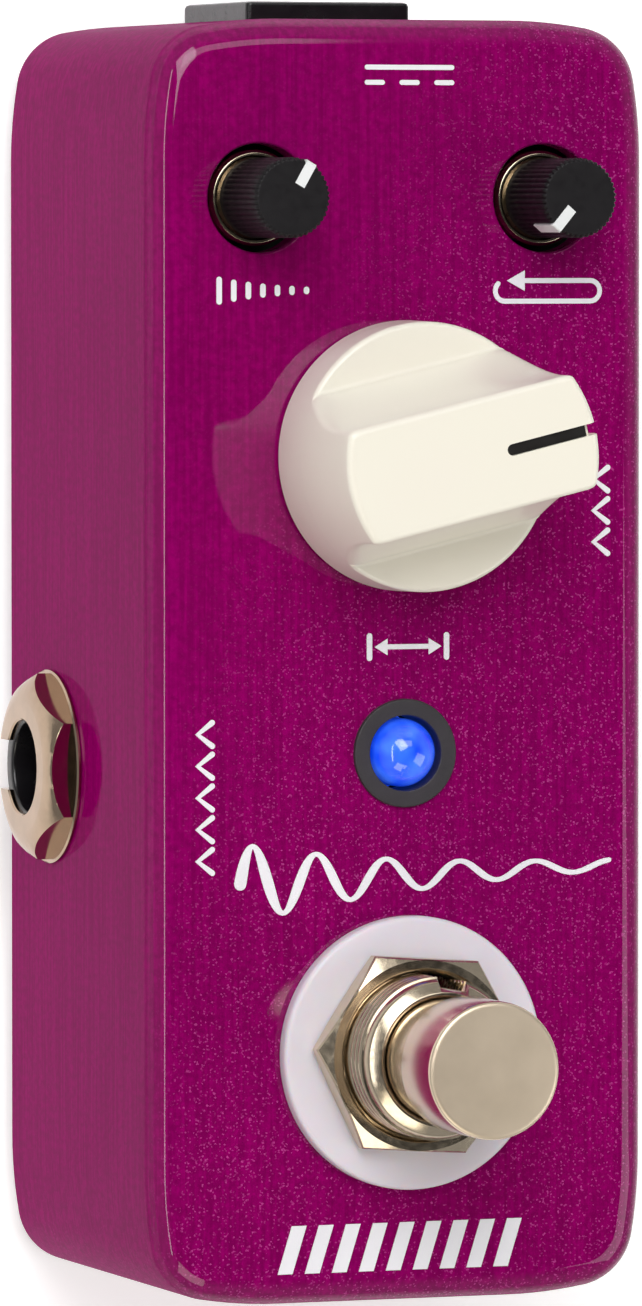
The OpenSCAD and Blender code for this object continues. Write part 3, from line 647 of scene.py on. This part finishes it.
def build_large_knob():
    """Round knob with a finger bar across it, skinned level by level, and a groove for the pointer."""
    low, high, _ = node_box("time_knob")
    axis = node_box("time_pot_bushing")[2]
    top, foot = high.z, low.z
    recess_r, recess_top = 6.4, FACE_Z + 4.4
    here = Matrix.Translation((axis.x, axis.y, 0)) @ Matrix.Rotation(math.radians(13.4), 4, "Z")
    levels, foot_half = knob_levels(top, foot)

    def outline(disc_r, half, beside):
        """A level's radius, as a function of the angle: the bar's rounded end, or the disc beside it."""
        def radius(a):
            across = max(abs(math.sin(a)), 1e-6)
            if not beside:
                return eased_min(disc_r, half / across)
            return max(eased_min(disc_r, min(half, foot_half) / across), min(beside, half / across))
        return radius

    profile = [(0, top)] + [(outline(*widths), z) for z, *widths in levels]
    profile += [(recess_r + 0.15, foot), (recess_r, foot + 0.15), (recess_r, recess_top), (0, recess_top)]
    knob = loose(Shape(turned(profile, 480), here), "pointer_knob")
    half, start, deep, drop = 0.42, 3.0, 0.55, 2.2
    beyond = KNOB_TOP_R + 1.2

    def line(half, end):
        """Outline of a line along the knob's X, round where it starts."""
        return arc((start, 0), half, QUARTER, 3 * QUARTER, 10) + [(end, -half), (end, half)]

    groove = Shape(raised(line(half, beyond), top - deep, top + 1), here)
    end_cut = Shape(boxed((KNOB_TOP_R - deep, -half, top - drop), (beyond, half, top + 1)), here)
    carve(knob, [loose(groove, "groove"), loose(end_cut, "end_cut")])
    finish_piece(knob, "time_knob", "knob_cream", cream, ["time_knob"], sharp=40, weighted=True)

    floor, skin_t, gap = top - deep, 0.25, 0.03
    ink = Shape(raised(line(half - gap, KNOB_TOP_R - 0.8), floor - 0.1, floor + skin_t), here)
    make("pointer_line", ink, "time_knob", "index_ink", index_ink, ["time_knob_index"])


build_large_knob()


# ---- small knobs
def build_small_knob(name, body, degrees):
    """Fluted cap, and the white line that runs across its top and down its side."""
    low, high, _ = node_box(name)
    axis = node_box(f"{name[:-5]}_pot_bushing")[2]
    here = Matrix.Translation((axis.x, axis.y, 0)) @ Matrix.Rotation(math.radians(degrees), 4, "Z")
    radius, flutes, depth, per_flute = 2.9, 44, 0.13, 6
    top, foot = high.z, low.z
    skirt = foot + 1.0

    def fluted(r, z, a):
        if z < skirt or r < radius - 0.2:
            return r
        return r - depth * (0.5 + 0.5 * math.cos(flutes * a)) ** 2

    side_low, side_high = foot + 1.2, top - 0.3
    profile = [(0, foot), (radius - 0.15, foot), (radius, foot + 0.15), (radius, skirt - 0.01)]
    profile += [(radius, side_low + (side_high - side_low) * i / 6) for i in range(7)]
    top_edge = ((0.05, 0.18), (0.14, 0.06), (0.24, 0), (0.32, 0))
    profile += [(radius - inset, top - fall) for inset, fall in top_edge]
    cap = Shape(turned(profile + [(0, top)], flutes * per_flute, fluted), here)
    make(f"{name}_cap", cap, body, "black_plastic", knob_black, [name], sharp=50, weighted=True)

    half, proud, thick, start, drop = 0.4, 0.03, 0.25, 1.0, 3.7

    def bent(out, bend):
        """One face of the line, out from the cap's surface: along its top, then down its side."""
        side = radius + out
        return rounded([(start, top + out), (side, top + out), (side, top - drop)], [bend], 5)

    section = bent(proud, 0.25) + list(reversed(bent(-thick, 0.1)))
    mark = Shape(skin([[(x, y, z) for x, z in section] for y in (-half, half)]), here)
    make(f"{name}_line", mark, body, "mark_white", mark_white, [f"{name}_mark"], sharp=40)


build_small_knob("echo_knob", "echo_knob", 60)
build_small_knob("feedback_knob", "feedback_knob", 230)


def thread_phase(z, start, pitch, a):
    """How far through its turn a thread is, 0 to 1, at a height and angle."""
    return ((z - start) / pitch - a / (2 * math.pi)) % 1.0


def build_pot_bushing(name):
    """Threaded ring that shows in the hole round a small knob, with a chamfered mouth."""
    low, high, mid = node_box(name)
    top, outer, bore = high.z, 3.5, 2.05
    pitch, deep, thread_top, steps = 0.75, 0.2, high.z - 0.35, 48

    def threaded(r, z, a):
        if r < outer - 1e-3 or z > thread_top:
            return r
        return r - deep * abs(2 * thread_phase(z, low.z, pitch, a) - 1)

    profile = [(bore, low.z)] + [(outer, low.z + (thread_top - low.z) * i / steps) for i in range(steps + 1)]
    profile += [(outer - 0.02, top - 0.3), (outer - 0.2, top - 0.02), (outer - 0.26, top),
                (outer - 0.42, top), (outer - 0.5, top - 0.05), (bore + 0.35, top - 0.6), (bore, top - 0.7),
                (bore, low.z)]
    ring = Shape(turned(profile, 72, threaded), Matrix.Translation((mid.x, mid.y, 0)))
    make(f"{name}_ring", ring, ROOT, "zinc", nickel, [name], sharp=40)


build_pot_bushing("echo_pot_bushing")
build_pot_bushing("feedback_pot_bushing")


# ---- lamp
def build_lamp():
    """Black ring in the face, and the lamp's flanged dome in it."""
    low, high, mid = node_box("led_bezel")
    here = Matrix.Translation((mid.x, mid.y, 0))
    outer, hole, stem, top = 3.95, 2.75, 3.25, high.z
    corners = [(hole, low.z), (stem, low.z), (stem, FACE_Z), (outer, FACE_Z), (outer, top), (hole, top),
               (hole, low.z)]
    ring = Shape(turned(rounded(corners, [0.05, 0, 0.02, 0.15, 0.12]), 128), here)
    make("lamp_ring", ring, ROOT, "black_plastic", bezel_black, ["led_bezel"])
    low, high, _ = node_box("led_lens")
    radius, flange_r, flange_top = 2.5, 2.9, low.z + 1
    dome = arc((0, high.z - radius), radius, 0, QUARTER, 24)[:-1] + [(0, high.z)]
    profile = [(0, low.z), (flange_r, low.z), (flange_r, flange_top), (radius, flange_top)] + dome
    make("lamp_dome", Shape(turned(profile), here), ROOT, "lamp_blue", lamp, ["led_lens"])


build_lamp()


# ---- footswitch
def hexagon_radius(flats, a):
    """Distance to a hexagon's side in direction a, with its corners on whole sixths of a turn."""
    sixth = math.pi / 3
    off = (a % sixth) - sixth / 2
    return flats / 2 / math.cos(off)


def hex_nut(low, top, flats, bore, land, slope):
    """Hexagonal nut: a cone from radius land cuts its corners, and its bore opens in a chamfer."""
    edge, mouth, mouth_deep = 0.12, 0.35, 0.45

    def side(a):
        return hexagon_radius(flats, a)

    def top_at(a, inset=0.0):
        return top - max(0.0, side(a) - inset - land) * slope

    def low_at(a, inset=0.0):
        return low + max(0.0, side(a) - inset - land) * slope * 0.6

    profile = [(bore, low), (land, low), (lambda a: side(a) - edge, lambda a: low_at(a, edge)),
               (side, lambda a: low_at(a) + edge), (side, lambda a: top_at(a) - edge),
               (lambda a: side(a) - edge, lambda a: top_at(a, edge)), (land, top), (bore + mouth + 0.05, top),
               (bore + mouth, top - 0.03), (bore + 0.03, top - mouth_deep), (bore, top - mouth_deep - 0.05),
               (bore, low)]
    return turned(profile, 240)


def switch_bushing(low, top):
    """Threaded bushing of the footswitch, with a keyway down its thread."""
    outer, bore = 5.95, 4.52
    thread_end, pitch, deep, rows_a_turn = top - 1.15, 0.75, 0.3, 9
    key_turn, key_half, key_floor, key_low = math.radians(80), 1.1, outer - 0.85, FACE_Z - 2

    def worked(r, z, a):
        if r <= bore + 0.3:
            return r
        if r > outer - 1e-3 and low + 0.2 < z < thread_end:
            r -= deep * (1 - abs(2 * thread_phase(z, low, pitch, a) - 1)) ** 1.5
        off = (a - key_turn + math.pi) % (2 * math.pi) - math.pi
        if z > key_low and abs(off) < math.pi / 3 and abs(r * math.sin(off)) < key_half:
            r = min(r, key_floor / math.cos(off))
        return r

    rows = int((thread_end - low) / pitch * rows_a_turn)
    profile = [(bore, low)] + [(outer, low + (thread_end - low) * i / rows) for i in range(rows + 1)]
    profile += [(outer - 0.15, thread_end + 0.05), (outer - 0.32, top - 0.56), (outer - 0.4, top - 0.5),
                (bore + 0.38, top - 0.03), (bore + 0.3, top), (bore + 0.12, top), (bore, top - 0.12),
                (bore, low)]
    return turned(profile, 288, worked)


def build_footswitch():
    """Washer, nut and bushing on the face, and the plunger: cap, neck and the collar inside."""
    low, high, mid = node_box("footswitch_washer")
    axis = Matrix.Translation((mid.x, mid.y, 0))
    hole, outer = 6.1, 10
    corners = [(hole, low.z), (outer, low.z), (outer, high.z), (hole, high.z), (hole, low.z)]
    washer = Shape(turned(rounded(corners, [0.2, 0.45, 0.2]), 160), axis)
    make("switch_washer", washer, ROOT, "washer_white", nylon, ["footswitch_washer"])

    low, high, _ = node_box("footswitch_nut")
    turn = Matrix.Rotation(math.radians(-4), 4, "Z")
    nut = Shape(hex_nut(low.z, high.z, flats=14.0, bore=5.97, land=6.95, slope=0.55), axis @ turn)
    make("switch_nut", nut, ROOT, "nickel", nickel_worn, ["footswitch_nut"], sharp=25)

    low, high, _ = node_box("footswitch_bushing")
    bushing = Shape(switch_bushing(low.z, high.z), axis)
    make("switch_bushing", bushing, ROOT, "nickel", nickel_worn, ["footswitch_bushing"], sharp=38)

    low, high, _ = node_box("footswitch_plunger")
    top, cap_r, neck_r, cap_low, stem_r = high.z, 4.97, 4.45, FACE_Z + 11.5, 2
    collar_low, collar_top, collar_r = FACE_Z - 8.05, FACE_Z - 6.65, 5.9
    corners = [(0, low.z), (stem_r, low.z), (stem_r, collar_low), (collar_r, collar_low),
               (collar_r, collar_top), (neck_r, collar_top), (neck_r, cap_low), (cap_r, cap_low),
               (cap_r, top), (0, top)]
    plunger = Shape(turned(rounded(corners, [0.2, 0, 0.1, 0.1, 0, 0, 0.3, 0.42], 7), 160), axis)
    node = "footswitch_plunger"
    make("switch_button", plunger, node, "nickel", cap_metal, [node], sharp=40)


build_footswitch()


def build_spring():
    """Return spring under the plunger's collar."""
    low, high, mid = node_box("footswitch_spring")
    travel, radius, wire, turns, steps, sides = 3.0, 3.3, 0.4, 5, 28, 12
    up = Vector((0, 0, 1))
    height = high.z - low.z
    rings = []
    for i in range(turns * steps + 1):
        a = 2 * math.pi * i / steps
        outwards = Vector((math.cos(a), math.sin(a), 0))
        z = low.z + wire + (height - 2 * wire) * i / (turns * steps)
        centre = Vector((mid.x, mid.y, z)) + radius * outwards
        rings.append([centre + wire * (math.cos(t) * outwards + math.sin(t) * up)
                      for t in (2 * math.pi * k / sides for k in range(sides))])
    slot = "spring_steel"
    spring = make("return_spring", Shape(skin(rings)), ROOT, slot, spring_steel, ["footswitch_spring"])
    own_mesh(spring)


build_spring()


# ---- plug sockets
def crown_height(r):
    """How far the socket nut's domed crown falls below its top at radius r."""
    falls = [(5.0, 0), (5.5, 0.1), (6.0, 0.32), (6.45, 0.7), (6.93, 1.25), (7.4, 1.8)]
    for (r0, fall0), (r1, fall1) in zip(falls, falls[1:]):
        if r <= r1:
            return fall0 + (fall1 - fall0) * (r - r0) / (r1 - r0)
    return falls[-1][1]


def build_socket_nut(side, name):
    """Domed hexagonal nut on a flange, with a lip at its mouth and a notch in its lower side."""
    node = f"{name}_jack_nut"
    low, high, mid = node_box(node)
    out, tip = CASE_W / 2, high.x if side > 0 else -low.x
    flats, bore, lip, flange_r, flange_t = 12.0, 4.5, 3.5, 7.2, 0.35
    land, edge, ease = 5.0, 0.08, 0.12
    corner_turn = math.radians(30)

    def across(a):
        return hexagon_radius(flats, a)

    def crown(share):
        """A point of the crown, a share of the way from the flat land to the hexagon's edge."""
        def radius(a):
            return land + (across(a) - edge - land) * share
        return radius, lambda a: tip - crown_height(radius(a))

    profile = [(bore, out), (flange_r - edge, out), (flange_r, out + edge), (flange_r, out + flange_t - ease),
               (flange_r - ease, out + flange_t), (across, out + flange_t + 0.001),
               (across, lambda a: tip - crown_height(across(a)) - edge * 0.6)]
    profile += [crown(share) for share in (1.0, 0.8, 0.6, 0.4, 0.2, 0.05)]
    profile += [(land - 0.05, tip), (lip + ease, tip), (lip, tip - ease), (lip, tip - 0.37),
                (bore, tip - 0.37), (bore, out)]
    here = sideways(side, mid) @ Matrix.Rotation(corner_turn, 4, "Z")
    nut = loose(Shape(turned(profile, 240, turn=corner_turn), here), f"{name}_socket_nut")
    notch_half, notch_deep = 1.85, 1.35
    notch = Shape(boxed((tip - notch_deep, -notch_half, -9), (tip + 1, notch_half, 0)), mirrored(side, mid))
    carve(nut, [loose(notch, "notch")])
    finish_piece(nut, ROOT, "nickel", nickel_painted_shade, [node], sharp=24)


def mirrored(side, centre):
    """Places a shape made for the right side at centre, turned half round for the left side."""
    return Matrix.Translation((0, centre.y, centre.z)) @ Matrix.Rotation(0 if side > 0 else math.pi, 4, "Z")


def build_socket_sleeve(side, name):
    """Black sleeve that the plug goes into, with the square flange behind the wall."""
    node = f"{name}_jack_bushing"
    low, high, _ = node_box(node)
    mid = node_box(f"{name}_jack_nut")[2]
    out, mouth = CASE_W / 2, high.x if side > 0 else -low.x
    back, sleeve_r, plug_r = out - 6.6, 4.45, 3.25
    corners = [(plug_r, back), (sleeve_r, back), (sleeve_r, mouth), (plug_r, mouth), (plug_r, back)]
    sleeve = loose(Shape(turned(rounded(corners, [0.1, 0.15, 0.3]), 128), sideways(side, mid)),
                   f"{name}_socket_sleeve")
    half_y, half_z, thick = 7.0, 6.75, 2.0
    flange = boxed((out - 2 * thick, -half_y, -half_z), (out - thick, half_y, half_z))
    block = loose(Shape(flange, mirrored(side, mid)), "flange")
    room_r, room_back = sleeve_r - 0.2, out - 3 * thick
    room = turned([(0, room_back), (room_r, room_back), (room_r, out), (0, out)], 64)
    carve(block, [loose(Shape(room, sideways(side, mid)), "hole")])
    carve(sleeve, [block], "UNION")
    finish_piece(sleeve, ROOT, "socket_plastic", socket_black, [node])


for side, name in ((-1, "output"), (1, "input")):
    build_socket_nut(side, name)
    build_socket_sleeve(side, name)


def build_power_socket():
    """Square block with a lipped barrel hole and a slot for the contact, and the pin in the hole."""
    low, high, mid = node_box("power_socket_housing")
    edge, corner = 0.3, 0.4

    def ring(inset, y):
        outline = rounded_box((low.x + inset, low.z + inset), (high.x - inset, high.z - inset), corner, 0, 5)
        return [(x, y, z) for x, z in outline]

    back = high.y
    rings = [ring(0, low.y), ring(0, back - edge), ring(edge * 0.3, back - edge * 0.3), ring(edge, back)]
    block = loose(Shape(skin(rings)), "power_block")
    hole_r, deep, lip, slot_half = 2.9, 9.5, 0.4, 1.1
    profile = [(0, back - deep), (hole_r, back - deep), (hole_r, back - lip),
               (hole_r + 0.12, back - lip * 0.4), (hole_r + lip, back), (hole_r + lip, back + 1),
               (0, back + 1)]
    along = Matrix.Translation((mid.x, 0, mid.z)) @ Matrix.Rotation(math.radians(-90), 4, "X")
    slot = boxed((mid.x - slot_half, back - deep, mid.z - hole_r - 1), (mid.x + slot_half, back - 2, mid.z))
    carve(block, [loose(Shape(turned(profile), along), "barrel_hole"), loose(Shape(slot), "contact_slot")])
    finish_piece(block, ROOT, "socket_plastic", socket_black, ["power_socket_housing"], weighted=True)
    low, high, _ = node_box("power_socket_pin")
    pin_r = 1.05
    profile = rounded([(0, low.y), (pin_r, low.y), (pin_r, high.y), (0, high.y)], [0.05, 0.4], 6)
    make("power_pin", Shape(turned(profile, 48), along), ROOT, "contact_brass", nickel, ["power_socket_pin"])


build_power_socket()


# ---- printed marks on the face
PRINT_LOW = FACE_Z - 0.05
STROKE_TOP = FACE_Z + 0.035
PATCH_TOP = FACE_Z + 0.045
LINE, BOLD = 0.36, 0.42


def stroke(shape, points, widths):
    """A painted line with round ends along points in plan. widths is one width, or one to a point."""
    if isinstance(widths, (int, float)):
        widths = [widths] * len(points)
    left, right = [], []
    for i, (x, y) in enumerate(points):
        a, b = points[max(i - 1, 0)], points[min(i + 1, len(points) - 1)]
        heading = Vector((b[0] - a[0], b[1] - a[1])).normalized()
        side = Vector((-heading.y, heading.x)) * widths[i] / 2
        left.append((x + side.x, y + side.y))
        right.append((x - side.x, y - side.y))

    def cap(centre, edge):
        start = math.atan2(edge[1] - centre[1], edge[0] - centre[0])
        radius = math.hypot(edge[0] - centre[0], edge[1] - centre[1])
        return arc(centre, radius, start, start - math.pi, 8)[1:-1]

    outline = left + cap(points[-1], left[-1]) + list(reversed(right)) + cap(points[0], right[0])
    shape.add(*raised(outline, PRINT_LOW, STROKE_TOP))


def patch(shape, outline):
    """A filled painted area, just proud of the strokes that it meets."""
    shape.add(*raised(outline, PRINT_LOW, PATCH_TOP))


def power_icon(marks, x, y):
    """Direct current, over the power socket: a solid bar above three short ones."""
    stroke(marks, [(x - 3.3, y + 0.55), (x + 3.3, y + 0.55)], LINE)
    for off in (-2.7, 0, 2.7):
        stroke(marks, [(x + off - 0.6, y - 0.55), (x + off + 0.6, y - 0.55)], LINE)


def echo_icon(marks, left, y):
    """Left knob: repeats that fade, as bars that shrink."""
    for i in range(7):
        half = 0.95 * 0.78 ** i - 0.15
        x = left + i * 1.12
        stroke(marks, [(x, y - half), (x, y + half)], BOLD)


def loop_icon(marks, left, right, y):
    """Right knob: a loop with an arrow, for feedback."""
    end_r = 0.75
    top = y + end_r
    upper = [(left + 1.6, top)] + arc((right - end_r, y), end_r, QUARTER, -QUARTER, 12)
    lower = arc((left + end_r, y), end_r, 3 * QUARTER, 1.5 * QUARTER, 10)
    stroke(marks, upper + lower, LINE)
    patch(marks, [(left + 0.9, top), (left + 2.3, top + 0.75), (left + 2.3, top - 0.75)])


def span_icon(marks, x, y):
    """Large knob: the space between two marks, for time."""
    for side in (-1, 1):
        stroke(marks, [(x + side * 3.0, y - 0.8), (x + side * 3.0, y + 0.8)], BOLD)
    stroke(marks, [(x - 2.0, y), (x + 2.0, y)], LINE)
    for side in (-1, 1):
        patch(marks, [(x + side * 2.6, y), (x + side * 1.6, y + 0.6), (x + side * 1.6, y - 0.6)])


def chevrons(marks, x, first, count):
    """A socket: a column of chevrons that point left, from first up."""
    for y in (first + i * 2.3 for i in range(count)):
        stroke(marks, [(x + 0.55, y - 0.85), (x - 0.55, y), (x + 0.55, y + 0.85)], BOLD)


def face_icons():
    """The small marks beside the controls and sockets, one piece."""
    marks = Shape()
    power_icon(marks, 0.5, 42.7)
    echo_icon(marks, -14.2, 27.07)
    loop_icon(marks, 7.2, 15.4, 27.0)
    span_icon(marks, 0.4, 1.14)
    chevrons(marks, -15.3, -14.2, 5)
    chevrons(marks, 15.5, 8.6, 3)
    make("face_icons", marks, ROOT, "mark_white", print_white, sharp=40)


def face_wave():
    """A swell that dies away, in one brushed line across the face."""
    points, widths = [], []
    steps, left, right, middle, swings, height, rise = 220, -12.6, 16.2, -15.9, 5.2, 2.9, 0.8
    for t in (i / steps for i in range(steps + 1)):
        fade = math.exp(-2.1 * t)
        phase = 2 * math.pi * swings * t ** 0.9
        points.append((left + (right - left) * t, middle + height * fade * math.sin(phase) + rise * t))
        widths.append(0.34 + 0.6 * fade * abs(math.cos(phase)) ** 1.5)
    wave = Shape()
    stroke(wave, points, widths)
    make("face_wave", wave, ROOT, "mark_white", print_white, sharp=40)


def face_band():
    """A neutral row of slanted bars along the front edge."""
    band = Shape()
    low, high, lean, first, last, count, half = -44.4, -40.9, 0.55, -8.6, 8.2, 9, 0.575
    for x in (first + (last - first) * i / (count - 1) for i in range(count)):
        foot, head = x - lean, x + lean
        patch(band, [(foot - half, low), (foot + half, low), (head + half, high), (head - half, high)])
    make("face_band", band, ROOT, "mark_white", print_white, sharp=40)


face_icons()
face_wave()
face_band()


# ---- CAD nodes that keep their own shape
KEPT = {
    "footswitch_housing": switch_blue, "main_board": board_green, "board_capacitors": can_sleeve,
    "wire_header": header_white, "switch_wires": wire_red,
}
for surface, nodes in (
        (zinc, "bottom_screws footswitch_frame footswitch_lock_nut time_pot_shaft time_pot_bushing "
               "time_pot_nut time_pot_washer echo_pot_shaft feedback_pot_shaft"),
        (brass, "output_tip_contact output_sleeve_contact input_tip_contact input_sleeve_contact "
                "power_socket_contact power_socket_terminals footswitch_terminals"),
        (phenolic, "time_pot_body echo_pot_body feedback_pot_body"),
        (socket_black, "output_jack_body input_jack_body"),
        (chip_black, "board_chips board_resistors"),
        (tinned, "clock_crystal led_leads")):
    KEPT.update({node: surface for node in nodes.split()})
for node, surface in KEPT.items():
    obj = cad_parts[node]
    obj.data.materials.clear()
    obj.data.materials.append(surface)


# ---- floor, light and camera
def build_floor():
    """Pale floor with a painted pool of light round the pedal: it glows there, and its colour turns darker
    grey further out.
    """
    half, thick = 1200, 20
    floor = loose(Shape(boxed((-half, -half, -thick), (half, half, 0))), "floor")
    near, edge = (0.93, 0.93, 0.93, 1.0), (0.72, 0.72, 0.72, 1.0)
    s = Surface("floor", near, 0.9)
    s.set("Emission Color", (1.0, 1.0, 1.0, 1.0))
    # Squared distance from the middle, 1 on an ellipse close round the pedal
    reach_x, reach_y = 0.040, 0.066
    far = s.maths("ADD", s.maths("POWER", s.maths("DIVIDE", s.along("X"), reach_x), 2.0),
                  s.maths("POWER", s.maths("DIVIDE", s.along("Y"), reach_y), 2.0))
    # Painted pool of light: the floor glows close round the pedal, and its grey darkens further out
    s.set("Emission Strength", s.spread(far, 1.0, 6.0, 0.38, 0.0))
    s.set("Base Color", s.mix(s.spread(far, 1.0, 12.0, 0.0, 1.0), near, edge))
    floor.data.materials.append(s.material)


def build_world():
    """Dim surroundings, darkest straight above, so that the face keeps its deep colour."""
    world = bpy.data.worlds.new("studio")
    bpy.context.scene.world = world
    world.use_nodes = True
    tree, sky = world.node_tree, world.node_tree.nodes["Background"]
    split = tree.nodes.new("ShaderNodeSeparateXYZ")
    tree.links.new(tree.nodes.new("ShaderNodeTexCoord").outputs["Generated"], split.inputs["Vector"])
    bright, dark = 0.34, 0.03
    tree.links.new(spread(tree, split.outputs["Z"], 0.45, 0.85, bright, dark), sky.inputs["Strength"])
    sky.inputs["Color"].default_value = (0.97, 0.98, 1.0, 1.0)


def softbox(name, place, size, watts, aim=(0, 0, 0.02), colour=(1, 1, 1)):
    """Rectangular studio light, in metres."""
    light = bpy.data.lights.new(name, "AREA")
    light.shape = "RECTANGLE"
    light.size, light.size_y = size
    light.energy = watts
    light.color = colour
    obj = bpy.data.objects.new(name, light)
    bpy.context.scene.collection.objects.link(obj)
    obj.location = place
    obj.rotation_euler = (Vector(aim) - Vector(place)).to_track_quat("-Z", "Y").to_euler()


def build_camera():
    """Long lens almost straight above the face, turned a little to see the left side."""
    tilt, turn = 0.0430, 0.3547
    # From the middle of the casting's lower rim, along the camera's own axes
    seen_from = Vector((5.3313, -0.6358, 753.10))
    aim = Matrix.Rotation(-turn, 4, "Y") @ Matrix.Rotation(-tilt, 4, "X")
    data = bpy.data.cameras.new("camera")
    data.lens, data.sensor_width = 273.6, 36.0
    data.clip_start, data.clip_end = 0.05, 20.0
    camera = bpy.data.objects.new("camera", data)
    bpy.context.scene.collection.objects.link(camera)
    camera.matrix_world = Matrix.Translation((aim @ seen_from + Vector((0, 0, RIM_Z))) * MM) @ aim
    bpy.context.scene.camera = camera


build_floor()
build_world()
softbox("key", (-0.19, 0.35, 0.61), (0.36, 0.5), 2.75)
softbox("strip", (-0.45, 0.0, 0.42), (0.6, 0.04), 0.5)
softbox("fill", (0.55, -0.25, 0.5), (0.4, 0.5), 1.3)
softbox("top", (0.0, 0.45, 0.75), (0.6, 0.3), 1.3)
softbox("low", (-0.15, -0.5, 0.42), (0.4, 0.3), 1.0, (0, 0, 0.04), (1.0, 0.95, 0.82))
build_camera()
bpy.context.scene.view_settings.view_transform = "Standard"
